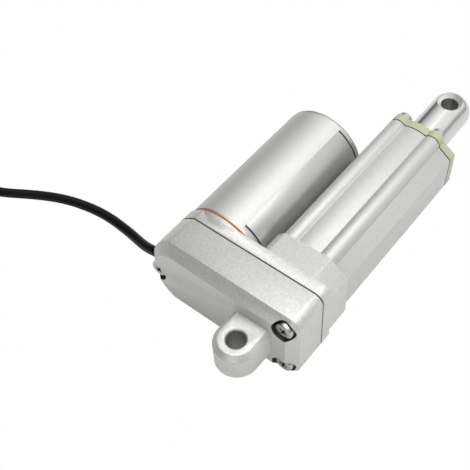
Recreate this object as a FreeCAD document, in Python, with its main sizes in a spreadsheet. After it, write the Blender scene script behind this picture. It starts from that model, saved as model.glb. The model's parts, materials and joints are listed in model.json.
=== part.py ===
import FreeCAD, Part
import math
import os
import Sketcher

# Electric linear actuator with a spur gearbox beside its tube.
# X runs along the rod towards its eye, Y from the tube towards the motor, Z up.
# The origin is the centre of the rear eye's bore. Lengths are in millimetres.

os.makedirs("parts", exist_ok=True)
doc = FreeCAD.newDocument("LinearActuator")
sheet = doc.addObject("Spreadsheet::Sheet", "Sizes")
nodes = []

# Name, value in millimetres (or formula of other names), meaning
SIZES = [
    # Whole actuator
    ("eye_spacing", 155, "rear eye to front eye, rod in"),
    ("stroke", 50, "travel of the rod"),
    ("eye_bore", 4, "radius of both eye bores"),
    ("running_gap", 0.05, "radial clearance of shafts that turn or slide"),
    ("seat_gap", 0.1, "clearance round a piece that is only seated"),

    # Gearbox casing
    ("side_wall", 1, "side of the gearbox beyond the tube"),
    ("side_gap", 0.4, "motor to the tube's socket"),
    ("collar_lip", 0.8, "collar beyond the motor all round"),
    ("end_bulge", 2, "round end beyond half the height"),
    ("rear_face", 9.6, "rear face of the cover"),
    ("bevel", 4, "bevel round the rear face"),
    ("corner_left", 0.4, "radius left at the rear face's corners"),
    ("seam", 28, "middle of the gasket seam"),
    ("gasket_half", 0.3, "half thickness of the seam gasket"),
    ("front_face", 33.5, "front face of the gearbox"),
    ("collar_rear", 29, "rear edge of the sloping motor collar"),
    ("room_gap", 0.3, "gear room beyond one module outside the drive gear"),
    ("pinion_room", 8, "gear room round the motor pinion"),
    ("floor_wall", 3.4, "rear wall of the cover"),
    ("motor_offset", "=gear_module * (pinion_teeth + wheel_teeth + idler_teeth + drive_teeth) / 2",
     "tube axis to motor axis"),
    ("motor_radius", "=motor_offset - socket_motor_side - side_gap", "motor can, ring and end cap"),
    ("end_radius", "=motor_radius + collar_lip", "round end about the motor axis"),
    ("box_half", "=end_radius - end_bulge", "half height of the gearbox"),
    ("room_radius", "=gear_module * (drive_teeth / 2 + 1) + room_gap",
     "gear room round the drive gear and the idler"),
    ("box_corner", "=bevel + corner_left", "radius of the square corners"),
    ("box_side", "=tube_side + side_wall", "tube axis to the side away from the motor"),
    ("corner_y", "=box_side - box_corner", "square corners, start of their rounding across"),
    ("corner_z", "=box_half - box_corner", "square corners, start of their rounding in height"),
    ("bevel_front", "=rear_face + bevel", "front edge of the bevel"),
    ("rear_half", "=box_half - bevel", "half height of the rear face"),
    ("rear_side", "=box_side - bevel", "side of the rear face"),
    ("rear_end_radius", "=end_radius - bevel", "round end of the rear face"),
    ("rear_flat_end", "=motor_offset + sqrt(rear_end_radius ^ 2 - rear_half ^ 2)", "end of its flat top"),
    ("cover_front", "=seam - gasket_half", "front face of the rear cover"),
    ("housing_rear", "=seam + gasket_half", "rear face of the front housing"),
    ("cover_floor", "=rear_face + floor_wall", "floor inside the cover"),
    ("flat_end", "=motor_offset + sqrt(end_radius ^ 2 - box_half ^ 2)", "end of the flat top"),

    # Rear eye
    ("lug_half", 7.5, "half thickness of the rear lug"),
    ("lug_radius", 9, "round end of the rear lug"),
    ("lug_bevel", 2, "bevel round the lug's flats"),
    ("lug_root", "=rear_face + floor_wall / 2", "end of the lug inside the rear wall"),
    ("rim_bevel", 0.5, "bevel of the rear bore's rims"),

    # Cover screws
    ("screw_from_side", 5.6, "corner screws to the side"),
    ("screw_from_top", 5.8, "corner screws to the top and the bottom"),
    ("screw_from_end", 4.6, "screw at the round end, to that end"),
    ("end_screw_drop", 2.4, "screw at the round end, below the middle"),
    ("head_radius", 3.7, "cover screw head"),
    ("head_face", 10.6, "outer face of the screw heads"),
    ("head_thick", 2.2, "thickness of the screw heads"),
    ("sink_radius", 4.7, "sunk seat round each head"),
    ("shank_radius", 2, "cover screw shank"),
    ("shank_end", 32.4, "tip of the cover screws"),
    ("corner_screw_y", "=box_side - screw_from_side", "corner screws, distance from the tube axis"),
    ("corner_screw_z", "=box_half - screw_from_top", "corner screws, height"),
    ("end_screw_y", "=motor_offset + end_radius - screw_from_end", "screw at the round end, across"),
    ("sink_floor", "=head_face + head_thick", "floor of the sunk seats"),
    ("screw_hole", "=shank_radius + seat_gap", "hole round a cover screw"),

    # Tube with four screw channels and a switch chamber
    ("tube_front", 123, "front end of the tube"),
    ("bore_room", 2, "tube bore beyond the rod"),
    ("tube_wall", 5, "round back of the tube, wall"),
    ("channel_aside", 7.7, "screw channels from the round back, across"),
    ("channel_under", 3.5, "screw channels from the round back, up"),
    ("channel_radius", 4, "outside of a screw channel"),
    ("channel_hole", 1.6, "hole of a screw channel"),
    ("chamber_depth", 2.3, "flat side of the switch chamber beyond the round back"),
    ("chamber_corner", 8.2, "half height of that flat side"),
    ("chamber_wall", 1.5, "wall outside the switch chamber"),
    ("chamber_half", 6.5, "half height of the chamber"),
    ("motor_flat", 2.2, "flat side beside the motor, under the round back"),
    ("motor_side_half", 8, "half height of that flat side"),
    ("tube_bore", "=rod_radius + bore_room", "bore radius"),
    ("tube_radius", "=tube_bore + tube_wall", "round back of the tube"),
    ("channel_y", "=tube_radius - channel_aside", "screw channels, across"),
    ("channel_z", "=tube_radius - channel_under", "screw channels, up"),
    ("tube_side", "=tube_radius + chamber_depth", "flat side of the switch chamber"),
    ("motor_side", "=tube_radius - motor_flat", "flat side of the tube beside the motor"),
    ("chamber_floor", "=tube_side - chamber_wall", "floor of the chamber"),
    ("channel_edge", "=channel_y + channel_radius", "outermost line of the channels"),
    ("channel_reach", "=sqrt(channel_y ^ 2 + channel_z ^ 2)", "axis to channel centre"),
    ("notch_along", "=(tube_radius ^ 2 - channel_radius ^ 2 + channel_reach ^ 2) / (2 * channel_reach)",
     "axis to the notch, along the line to the channel"),
    ("notch_aside", "=sqrt(tube_radius ^ 2 - notch_along ^ 2)", "notch, off that line"),
    ("notch_y", "=(notch_along * channel_y - notch_aside * channel_z) / channel_reach", "notch, across"),
    ("notch_z", "=(notch_along * channel_z + notch_aside * channel_y) / channel_reach", "notch, up"),

    # Socket of the front housing
    ("socket_front", 44.5, "front edge of the tube socket"),
    ("socket_wall", 0.6, "thinnest wall of the socket beside the motor"),
    ("socket_motor_half", 12.6, "half height of that side"),
    ("socket_low_y", 10.8, "lower end of the sloping roof"),
    ("socket_roof", 0.5, "thinnest roof over the screw channels"),
    ("socket_high_y", 11, "upper end of the sloping roof"),
    ("roof_slope", 0.8, "rise of the sloping roof"),
    ("socket_motor_side", "=motor_side + socket_wall", "side of the socket beside the motor"),
    ("socket_low_z", "=channel_z + channel_radius + socket_roof", "height of the roof's lower end"),
    ("socket_high_z", "=socket_low_z + roof_slope", "height of its upper end"),
    ("socket_side_half", 11, "half height of the flat side"),
    ("socket_round", 1.5, "rounding along the socket's edges"),
    ("bearing_front", 36.5, "front face of the bearing"),
    ("clip_thick", 0.8, "ring that holds the bearing"),
    ("clip_stand", 1, "ring beyond the bearing"),
    ("clip_width", 2.6, "width of the ring"),
    ("bearing_outer", 11, "ball bearing, outside"),
    ("clip_radius", "=bearing_outer + clip_stand", "outside of the ring"),
    ("clip_inner", "=clip_radius - clip_width", "inside of the ring"),
    ("tube_rear", "=bearing_front + clip_thick", "rear end of the tube in its socket"),
    ("fit_motor_side", "=motor_side + seat_gap", "tube recess, side beside the motor"),
    ("fit_side", "=tube_side + seat_gap", "tube recess, flat side"),
    ("fit_edge", "=channel_edge + seat_gap", "tube recess, channel edge"),
    ("fit_channel_z", "=channel_z", "tube recess, height of the channels"),
    ("fit_channel_radius", "=channel_radius + seat_gap", "tube recess, round a channel"),
    ("fit_tube_radius", "=tube_radius + seat_gap", "tube recess, round back"),
    ("fit_along", "=(fit_tube_radius ^ 2 - fit_channel_radius ^ 2 + channel_reach ^ 2) / (2 * channel_reach)",
     "recess notch, along the line to the channel"),
    ("fit_aside", "=sqrt(fit_tube_radius ^ 2 - fit_along ^ 2)", "recess notch, off that line"),
    ("fit_notch_y", "=(fit_along * channel_y - fit_aside * channel_z) / channel_reach",
     "recess notch, across"),
    ("fit_notch_z", "=(fit_along * channel_z + fit_aside * channel_y) / channel_reach", "recess notch, up"),
    ("fit_corner", "=chamber_corner + seat_gap", "tube recess, half height of the flat side"),

    # Front cap, its screws and the rod's guides
    ("cap_gasket", 0.4, "gasket under the cap"),
    ("cap_thick", 4, "thickness of the cap"),
    ("cap_room", 0.3, "rod hole of the cap beyond the rod"),
    ("cap_head_radius", 3.2, "cap screw head"),
    ("cap_head_thick", 2.6, "its thickness"),
    ("cap_shank_radius", 1.5, "cap screw shank"),
    ("cap_shank_tip", 114, "tip of the cap screws"),
    ("seal_section", 1.8, "rod seal, outside of the rod"),
    ("seal_depth", 2.2, "seat of the seal in the cap"),
    ("seal_stand", 0.8, "lip of the seal outside the cap"),
    ("guide_rear", 111, "rear end of the guide bush"),
    ("cap_rear", "=tube_front + cap_gasket", "rear face of the cap"),
    ("cap_front", "=cap_rear + cap_thick", "front face of the cap"),
    ("seal_rear", "=cap_front - seal_depth", "seat of the rod seal"),
    ("seal_front", "=cap_front + seal_stand", "lip of the rod seal"),
    ("cap_head_front", "=cap_front + cap_head_thick", "outer face of the cap screws"),
    ("cap_hole", "=rod_radius + cap_room", "rod hole of the cap"),
    ("seal_radius", "=rod_radius + seal_section", "rod seal, outside"),
    ("guide_outer", "=tube_bore - running_gap", "guide bush, outside"),
    ("guide_inner", "=rod_radius + running_gap", "guide bush, inside"),

    # Rod and nut
    ("rod_radius", 9, "piston rod"),
    ("rod_wall", 2, "wall of the hollow rod"),
    ("rod_rear", 52, "rear end of the rod tube"),
    ("rod_solid", 130, "start of the rod's solid end"),
    ("countersink_wall", 7.5, "half length of the front bore's full wall"),
    ("countersink_width", 2, "widening of the countersink above it"),
    ("cut_margin", 4, "room of the cut round the rod's end"),
    ("nut_rear", 45.5, "rear end of the nut"),
    ("flange_gap", 0.3, "flange of the nut to the tube bore"),
    ("nut_spigot_end", 62, "end of the nut inside the rod"),
    ("rod_tip", "=eye_spacing + rod_radius", "round end of the rod"),
    ("rod_bore", "=rod_radius - rod_wall", "bore of the hollow rod"),
    ("nut_flange", "=tube_bore - flange_gap", "flange of the nut"),
    ("cam_reach", "=nut_flange + cam_stand", "outer face of the switch cam"),
    ("nut_spigot", "=rod_bore - seat_gap", "spigot of the nut"),
    ("nut_bore", "=thread_radius + running_gap", "nut over the spindle"),
    ("countersink_radius", "=eye_bore + countersink_width", "mouth of the countersink"),
    ("countersink_top", "=countersink_wall + countersink_width", "height of its mouth"),
    ("cut_side", "=rod_radius + cut_margin", "edge of the end cut, across"),
    ("cut_front", "=rod_tip + cut_margin", "edge of the end cut, in front"),

    # Switch cam, board and end switches
    ("cam_length", 5, "length of the switch cam"),
    ("cam_half", 3, "half height of the cam"),
    ("cam_stand", 2.5, "switch cam beyond the nut's flange"),
    ("board_thick", 1.4, "circuit board"),
    ("board_half", 5.5, "half height of the board"),
    ("board_rear", 40, "rear end of the board"),
    ("board_front", 108, "front end of the board"),
    ("switch_half_length", 4, "half length of an end switch"),
    ("switch_half", 3, "half height of an end switch"),
    ("switch_gap", 0.3, "room between cam and switches"),
    ("board_middle", "=(board_rear + board_front) / 2", "middle of the board"),
    ("board_half_length", "=(board_front - board_rear) / 2", "half length of the board"),
    ("cam_half_length", "=cam_length / 2", "half length of the cam"),
    ("cam_middle", "=nut_rear + cam_length / 2", "middle of the cam"),
    ("board_face", "=chamber_floor - board_thick", "inner face of the board"),
    ("switch_face", "=cam_reach + switch_gap", "inner face of the switches"),

    # Spindle and its bearings
    ("spindle_room", 2, "rod bore beyond the spindle"),
    ("thread_radius", "=rod_bore - spindle_room", "outside of the spindle's thread"),
    ("journal_radius", 3, "rear journal"),
    ("journal_rear", 9.9, "rear end of the spindle"),
    ("journal_front", 15, "shoulder behind the gear"),
    ("seat_radius", 4, "seat of gear and bearing"),
    ("collar_radius", 5.6, "thrust collar"),
    ("collar_thick", 1.6, "its thickness"),
    ("thread_end", 120, "front end of the spindle"),
    ("bush_outer", 5.5, "rear bush, outside"),
    ("bush_rear", 9.4, "rear bush, seat in the lug's root"),
    ("bush_front", 14.2, "front end of the rear bush"),
    ("bearing_width", 7, "its width"),
    ("race_thick", 1.9, "thickness of a race"),
    ("race_groove", 0.38, "depth of the races' grooves"),
    ("ball_count", 7, "balls in the bearing"),
    ("shoulder_radius", 8.4, "opening behind the bearing"),
    ("bearing_rear", "=bearing_front - bearing_width", "rear face of the bearing"),
    ("thrust_rear", "=bearing_front + seat_gap", "rear face of the thrust collar"),
    ("thrust_front", "=thrust_rear + collar_thick", "front face of the thrust collar"),
    ("bearing_middle", "=bearing_front - bearing_width / 2", "plane of the balls"),
    ("inner_race", "=seat_radius + race_thick", "outside of the inner race"),
    ("outer_race", "=bearing_outer - race_thick", "inside of the outer race"),
    ("ball_circle", "=(bearing_outer + seat_radius) / 2", "circle of the balls"),
    ("ball_radius", "=(outer_race - inner_race) / 2 + race_groove", "ball"),
    ("groove_radius", "=ball_radius + running_gap", "groove of both races"),
    ("cage_half", 2.4, "half width of the ball cage"),
    ("cage_wall", 0.6, "half wall of the ball cage"),
    ("cage_rear", "=bearing_middle - cage_half", "rear face of the cage"),
    ("cage_front", "=bearing_middle + cage_half", "front face of the cage"),
    ("ball_rear", "=bearing_middle - ball_radius", "rear side of a ball"),
    ("ball_front", "=bearing_middle + ball_radius", "front side of a ball"),
    ("cage_inner", "=ball_circle - cage_wall", "inside of the cage"),
    ("cage_outer", "=ball_circle + cage_wall", "outside of the cage"),
    ("bush_inner", "=journal_radius + running_gap", "bore of the rear bush"),

    # Gear train: motor pinion, compound idler, drive gear
    ("gear_module", 1, "module of all four gears"),
    ("pinion_teeth", 10, "teeth of the motor pinion"),
    ("wheel_teeth", 22, "teeth of the idler's wheel"),
    ("idler_teeth", 12, "teeth of the idler's pinion"),
    ("drive_teeth", 24, "teeth of the drive gear"),
    ("pressure_angle", 25, "pressure angle in degrees"),
    ("addendum", 0.75, "tooth tip over the pitch circle, in modules"),
    ("dedendum", 1, "tooth root under the pitch circle, in modules"),
    ("tooth_thinning", 0.14, "backlash taken off each tooth"),
    ("drive_rear", 15.4, "rear face of the drive gear"),
    ("drive_front", 21.4, "front face of its teeth"),
    ("hub_radius", 5.7, "hub of the drive gear"),
    ("idler_rear", 14.6, "rear end of the idler's teeth"),
    ("idler_step", 22.4, "idler's pinion meets its wheel"),
    ("wheel_rear", 23, "rear face of the idler's wheel"),
    ("wheel_front", 27.5, "front face of the idler's wheel"),
    ("idler_hub", 3.6, "hub between and beside the idler's gears"),
    ("pinion_rear", 22.6, "rear face of the motor pinion"),
    ("pinion_front", 28.6, "front face of the motor pinion"),
    ("pin_radius", 2, "idler pin"),
    ("pin_rear", 11.2, "rear end of the idler pin"),
    ("pin_front", 30.8, "front end of the idler pin"),
    ("hub_front", "=bearing_rear - seat_gap", "end of the drive gear's hub"),
    ("idler_offset", "=gear_module * (idler_teeth + drive_teeth) / 2", "tube axis to idler pin"),
    ("idler_start", "=cover_floor + seat_gap", "rear end of the idler's hub"),
    ("idler_end", "=housing_rear - seat_gap", "front end of the idler's hub"),
    ("idler_bore", "=pin_radius + running_gap", "bore of the idler"),
    ("room_reach", "=idler_offset + room_radius", "end of the wide gear room"),

    # Motor
    ("can_wall", 1.7, "wall of the can"),
    ("seal_lip", 0.3, "orange seal beyond the motor"),
    ("seal_width", 4.5, "width of the orange seal"),
    ("seal_thick", 1.3, "orange seal under the motor"),
    ("ring_front", 37.8, "front edge of the motor's mounting ring"),
    ("joint_gap", 0.3, "open joints at both ends of the can"),
    ("can_front", 102.2, "far end of the can"),
    ("motor_end", 105.5, "far end of the motor"),
    ("end_rounding", 1.6, "rounded edge of the end cap"),
    ("spigot_length", 2.4, "spigots inside the can"),
    ("boss_outer", 6.4, "boss of the motor in the gearbox wall"),
    ("boss_rear", 30.6, "rear end of that boss"),
    ("shaft_radius", 1.6, "motor shaft"),
    ("shaft_rear", 22.2, "shaft end in the gear room"),
    ("shaft_front", 103.2, "shaft end in the cap"),
    ("shaft_room", 2.4, "opening for the shaft in the mounting ring"),
    ("spigot_wall", 2, "wall of the spigots"),
    ("cap_boss", 5.2, "bush boss of the end cap"),
    ("motor_bush_radius", 3.5, "motor bushes, outside"),
    ("motor_bush_length", 3.6, "their length"),
    ("air_gap", 0.6, "armature core to the magnets"),
    ("core_rear", 52, "rear end of the core"),
    ("core_front", 86, "front end of the core"),
    ("slot_count", 5, "winding slots of the core"),
    ("slot_width", 3.2, "width of a slot"),
    ("slot_floor", 6.5, "floor of a slot"),
    ("winding_inset", 2.1, "winding heads under the core"),
    ("winding_length", 5, "their length"),
    ("commutator_radius", 4.5, "commutator"),
    ("commutator_rear", 92, "its rear end"),
    ("commutator_front", 98, "its front end"),
    ("slit_width", 0.5, "slits of the commutator"),
    ("slit_floor", 3.9, "floor of the slits"),
    ("brush_rear", 93.4, "rear face of the brushes"),
    ("brush_half", 1.6, "half width of a brush"),
    ("brush_length", 5, "brush along its own travel"),
    ("card_rear", 98.4, "rear face of the brush card"),
    ("card_hole", 5.6, "opening of the brush card"),
    ("magnet_thick", 3.3, "thickness of the magnets"),
    ("magnet_angle", 132, "arc of a magnet in degrees"),
    ("magnet_overhang", 3, "magnet beyond each end of the core"),
    ("label_thick", 0.15, "foil label"),
    ("label_edge", 117, "edge of the label, in degrees from the side away from the tube"),
    ("label_margin", 0.6, "label edge to the motor's end"),
    ("can_inner", "=motor_radius - can_wall", "inside of the can"),
    ("seal_outer", "=motor_radius + seal_lip", "orange seal, outside"),
    ("seal_inner", "=seal_outer - seal_width", "orange seal, inside"),
    ("magnet_inner", "=can_inner - magnet_thick", "inside of the magnets"),
    ("core_radius", "=magnet_inner - air_gap", "armature core"),
    ("winding_radius", "=core_radius - winding_inset", "winding heads, outside"),
    ("seal_front_x", "=front_face + seal_thick", "front face of the orange seal"),
    ("can_rear", "=ring_front + joint_gap", "rear end of the can"),
    ("cap_joint", "=can_front + joint_gap", "rear edge of the end cap"),
    ("ring_spigot_end", "=can_rear + spigot_length", "end of the ring's spigot"),
    ("cap_spigot_rear", "=can_front - spigot_length", "end of the cap's spigot"),
    ("spigot_radius", "=can_inner - seat_gap", "spigots inside the can"),
    ("spigot_inner", "=spigot_radius - spigot_wall", "inside of the spigots"),
    ("boss_hole", "=boss_outer + seat_gap", "gearbox hole round the motor boss"),
    ("label_outer", "=motor_radius + label_thick", "outside of the label"),
    ("label_rear", "=seal_front_x + label_margin", "rear edge of the label"),
    ("label_front", "=motor_end - end_rounding - label_margin", "front edge of the label"),
    ("label_sweep", "=2 * label_edge", "arc covered by the label in degrees"),
    ("label_length", "=label_front - label_rear", "length of the label"),
    ("front_bush_end", "=boss_rear + motor_bush_length", "front end of the bush in the ring"),
    ("rear_bush_end", "=cap_spigot_rear + motor_bush_length", "front end of the bush in the cap"),
    ("cap_face", "=motor_radius - end_rounding", "flat face of the end cap"),
    ("cap_shoulder", "=motor_end - end_rounding", "start of its rounded edge"),
    ("motor_bush_inner", "=shaft_radius + running_gap", "bore of the motor bushes"),
    ("winding_rear", "=core_rear - winding_length", "rear end of the windings"),
    ("winding_front", "=core_front + winding_length", "front end of the windings"),
    ("winding_floor", "=slot_floor + seat_gap", "windings, floor of a slot"),
    ("slot_width_half", "=slot_width / 2", "half width of a slot"),
    ("slit_width_half", "=slit_width / 2", "half a commutator slit"),
    ("winding_half", "=slot_width_half - seat_gap", "windings, half width in a slot"),
    ("winding_top", "=winding_radius", "windings, top of a slot"),
    ("magnet_rear", "=core_rear - magnet_overhang", "rear end of the magnets"),
    ("magnet_length", "=core_front - core_rear + 2 * magnet_overhang", "length of the magnets"),
    ("card_outer", "=can_inner - seat_gap", "outside of the brush card"),
    ("brush_near", "=commutator_radius + running_gap", "brush face at the commutator"),

    # Cable with its grommet, coil and bare leads
    ("cable_radius", 2.2, "outside of the cable"),
    ("cable_x", 19.2, "exit, along the gearbox"),
    ("cable_drop", 7.2, "exit, below the middle"),
    ("cable_inner", 46, "inner end of the cable"),
    ("wire_hole", 2.4, "hole of the cable behind the grommet"),
    ("grommet_radius", 3.2, "grommet in the wall"),
    ("grommet_stand", 0.4, "grommet beyond the round end"),
    ("grommet_length", 2.8, "length of the grommet"),
    ("grommet_outer", "=motor_offset + end_radius + grommet_stand", "outer end of the grommet"),
    ("grommet_inner", "=grommet_outer - grommet_length", "inner end of the grommet"),
    ("coil_x", -25, "centre of the coil, along the rod"),
    ("coil_y", 172, "centre of the coil, across"),
    ("coil_middle", 24, "middle of the coil's turns"),
    ("coil_turns_wide", 3, "turns side by side"),
    ("coil_layers", 2, "turns one above the other"),
    ("lead_radius", 0.8, "insulated lead"),
    ("lead_length", 22, "leads beyond the cable's end"),
    ("lead_spread", 3, "each lead aside over its length"),
    ("lead_angle", 250, "end of the cable on the coil, in degrees"),
    ("table_depth", "=end_radius", "surface the actuator lies on, below the axis"),
    ("coil_outer", "=coil_middle + coil_turns_wide * cable_radius", "outside of the coil"),
    ("coil_inner", "=coil_middle - coil_turns_wide * cable_radius", "inside of the coil"),
    ("coil_height", "=coil_layers * 2 * cable_radius", "height of the coil"),
    ("turn_outer", "=coil_outer - cable_radius", "middle of the outer turn"),
]

for row, (alias, value, meaning) in enumerate(SIZES, 1):
    sheet.set("A%d" % row, meaning)
    sheet.set("B%d" % row, str(value))
    sheet.setAlias("B%d" % row, alias)
doc.recompute()


def read(token):
    """Give the value of a sheet name, which may carry a minus sign."""
    if token == "0":
        return 0.0
    if token.startswith("-"):
        return -float(sheet.get(token[1:]))
    return float(sheet.get(token))


def bound(token):
    """Give the expression that binds a property to a sheet name."""
    if token == "0":
        return "0"
    if token.startswith("-"):
        return "-Sizes." + token[1:]
    return "Sizes." + token


def difference(finish, start):
    """Give the expression for the length from start to finish."""
    return bound(finish) + " - (" + bound(start) + ")"


def node(piece):
    """Keep a finished sub-part under its own label."""
    nodes.append(piece)
    return piece


# Sketches and features of bodies


def new_body(label):
    """Start a body for a node."""
    body = doc.addObject("PartDesign::Body", label)
    body.Label = label
    return body


def new_sketch(body, name, plane, lift="0", shift="0"):
    """Attach a sketch to a plane of the body's own origin, lifted along its normal."""
    sketch = body.newObject("Sketcher::SketchObject", name)
    base = [item for item in body.Origin.OriginFeatures if item.Role == plane][0]
    sketch.AttachmentSupport = [(base, "")]
    sketch.MapMode = "FlatFace"
    if lift != "0":
        sketch.setExpression("AttachmentOffset.Base.z", bound(lift))
    if shift != "0":
        axis = "y" if plane == "XY_Plane" else "x"
        sketch.setExpression("AttachmentOffset.Base." + axis, bound(shift))
    return sketch


def place(sketch, geometry, point, across, up):
    """Hold one point of a sketch at named distances from its origin."""
    if across == "0":
        sketch.addConstraint(Sketcher.Constraint("PointOnObject", geometry, point, -2))
    else:
        index = sketch.addConstraint(
            Sketcher.Constraint("DistanceX", -1, 1, geometry, point, read(across)))
        sketch.setExpression("Constraints[%d]" % index, bound(across))
    if up == "0":
        sketch.addConstraint(Sketcher.Constraint("PointOnObject", geometry, point, -1))
    else:
        index = sketch.addConstraint(
            Sketcher.Constraint("DistanceY", -1, 1, geometry, point, read(up)))
        sketch.setExpression("Constraints[%d]" % index, bound(up))


def draw_circle(sketch, across, up, radius):
    """Draw a circle by its centre and radius."""
    centre = FreeCAD.Vector(read(across), read(up), 0)
    upright = FreeCAD.Vector(0, 0, 1)
    geometry = sketch.addGeometry(Part.Circle(centre, upright, read(radius)), False)
    place(sketch, geometry, 3, across, up)
    index = sketch.addConstraint(Sketcher.Constraint("Radius", geometry, read(radius)))
    sketch.setExpression("Constraints[%d]" % index, bound(radius))


def draw_loop(sketch, corners):
    """Draw a closed outline through named corners.

    A corner is (across, up) where a straight side follows, or (across, up, radius)
    where an arc follows that turns left on its way to the next corner.
    """
    points = [FreeCAD.Vector(read(corner[0]), read(corner[1]), 0) for corner in corners]
    sides = []
    for number, corner in enumerate(corners):
        start = points[number]
        end = points[(number + 1) % len(points)]
        if len(corner) == 2:
            sides.append(sketch.addGeometry(Part.LineSegment(start, end), False))
            continue
        radius = read(corner[2])
        chord = end - start
        left = FreeCAD.Vector(-chord.y, chord.x, 0).normalize()
        rise = math.sqrt(max(radius ** 2 - (chord.Length / 2) ** 2, 0))
        centre = (start + end) * 0.5 + left * rise
        circle = Part.Circle(centre, FreeCAD.Vector(0, 0, 1), radius)
        begin = math.atan2(start.y - centre.y, start.x - centre.x)
        finish = math.atan2(end.y - centre.y, end.x - centre.x)
        if finish < begin:
            finish += 2 * math.pi
        sides.append(sketch.addGeometry(Part.ArcOfCircle(circle, begin, finish), False))
    for number, corner in enumerate(corners):
        following = sides[(number + 1) % len(sides)]
        sketch.addConstraint(
            Sketcher.Constraint("Coincident", sides[number], 2, following, 1))
        place(sketch, sides[number], 1, corner[0], corner[1])
        if len(corner) == 3:
            index = sketch.addConstraint(
                Sketcher.Constraint("Radius", sides[number], read(corner[2])))
            sketch.setExpression("Constraints[%d]" % index, bound(corner[2]))


def mirrored(upper):
    """Close an outline that is the same above and below the middle.

    The corners given run over the top from one side to the other, each followed by
    the radius of the arc after it, or None. They turn left on the way.
    """
    loop = []
    for across, up, radius in upper:
        loop.append((across, up, radius) if radius else (across, up))
    previous = [radius for across, up, radius in upper][:-1]
    lower = list(reversed(upper))
    for number, (across, up, radius) in enumerate(lower):
        after = previous[-1 - number] if number < len(previous) else None
        down = "-" + up
        loop.append((across, down, after) if after else (across, down))
    return loop


def pad(body, name, sketch, start, finish):
    """Raise a sketch from its own plane to another named plane."""
    feature = body.newObject("PartDesign::Pad", name)
    feature.Profile = sketch
    feature.setExpression("Length", difference(finish, start))
    return feature


def pocket(body, name, sketch, mouth, floor):
    """Cut a sketch from its own plane back to another named plane."""
    feature = body.newObject("PartDesign::Pocket", name)
    feature.Profile = sketch
    feature.setExpression("Length", difference(mouth, floor))
    return feature


def edges_where(shape, test):
    """Name the edges of a shape that pass a test of their ends."""
    found = []
    for number, edge in enumerate(shape.Edges):
        if len(edge.Vertexes) == 2 and test(edge.Vertexes[0].Point, edge.Vertexes[1].Point):
            found.append("Edge%d" % (number + 1))
    return found


def near(value, target):
    """Tell whether two lengths are the same."""
    return abs(value - target) < 0.01


# Outlines that several pieces share

BOX = mirrored([
    ("flat_end", "box_half", None),
    ("-corner_y", "box_half", "box_corner"),
    ("-box_side", "corner_z", None),
])
BOX[-1] = BOX[-1] + ("end_radius",)
REAR_FACE = mirrored([
    ("rear_flat_end", "rear_half", None),
    ("-corner_y", "rear_half", "corner_left"),
    ("-rear_side", "corner_z", None),
])
REAR_FACE[-1] = REAR_FACE[-1] + ("rear_end_radius",)
ROOM = [
    ("0", "room_radius", "room_radius"),
    ("-room_radius", "0", "room_radius"),
    ("0", "-room_radius"),
    ("idler_offset", "-room_radius", "room_radius"),
    ("room_reach", "0", "room_radius"),
    ("idler_offset", "room_radius"),
]
TUBE = mirrored([
    ("motor_side", "motor_side_half", None),
    ("channel_edge", "channel_z", "channel_radius"),
    ("notch_y", "notch_z", "tube_radius"),
    ("-notch_y", "notch_z", "channel_radius"),
    ("-channel_edge", "channel_z", None),
    ("-tube_side", "chamber_corner", None),
])
RECESS = mirrored([
    ("fit_motor_side", "motor_side_half", None),
    ("fit_edge", "fit_channel_z", "fit_channel_radius"),
    ("fit_notch_y", "fit_notch_z", "fit_tube_radius"),
    ("-fit_notch_y", "fit_notch_z", "fit_channel_radius"),
    ("-fit_edge", "fit_channel_z", None),
    ("-fit_side", "fit_corner", None),
])
SOCKET = mirrored([
    ("socket_motor_side", "socket_motor_half", None),
    ("socket_low_y", "socket_low_z", None),
    ("-socket_high_y", "socket_high_z", None),
    ("-box_side", "socket_side_half", None),
])
COVER_SCREWS = [
    ("-corner_screw_y", "corner_screw_z"),
    ("-corner_screw_y", "-corner_screw_z"),
    ("end_screw_y", "-end_screw_drop"),
]
CHANNELS = [
    ("channel_y", "channel_z"),
    ("-channel_y", "channel_z"),
    ("-channel_y", "-channel_z"),
    ("channel_y", "-channel_z"),
]


def circles(sketch, centres, radius):
    """Draw the screws' circles on a plane."""
    for across, up in centres:
        draw_circle(sketch, across, up, radius)


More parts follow.
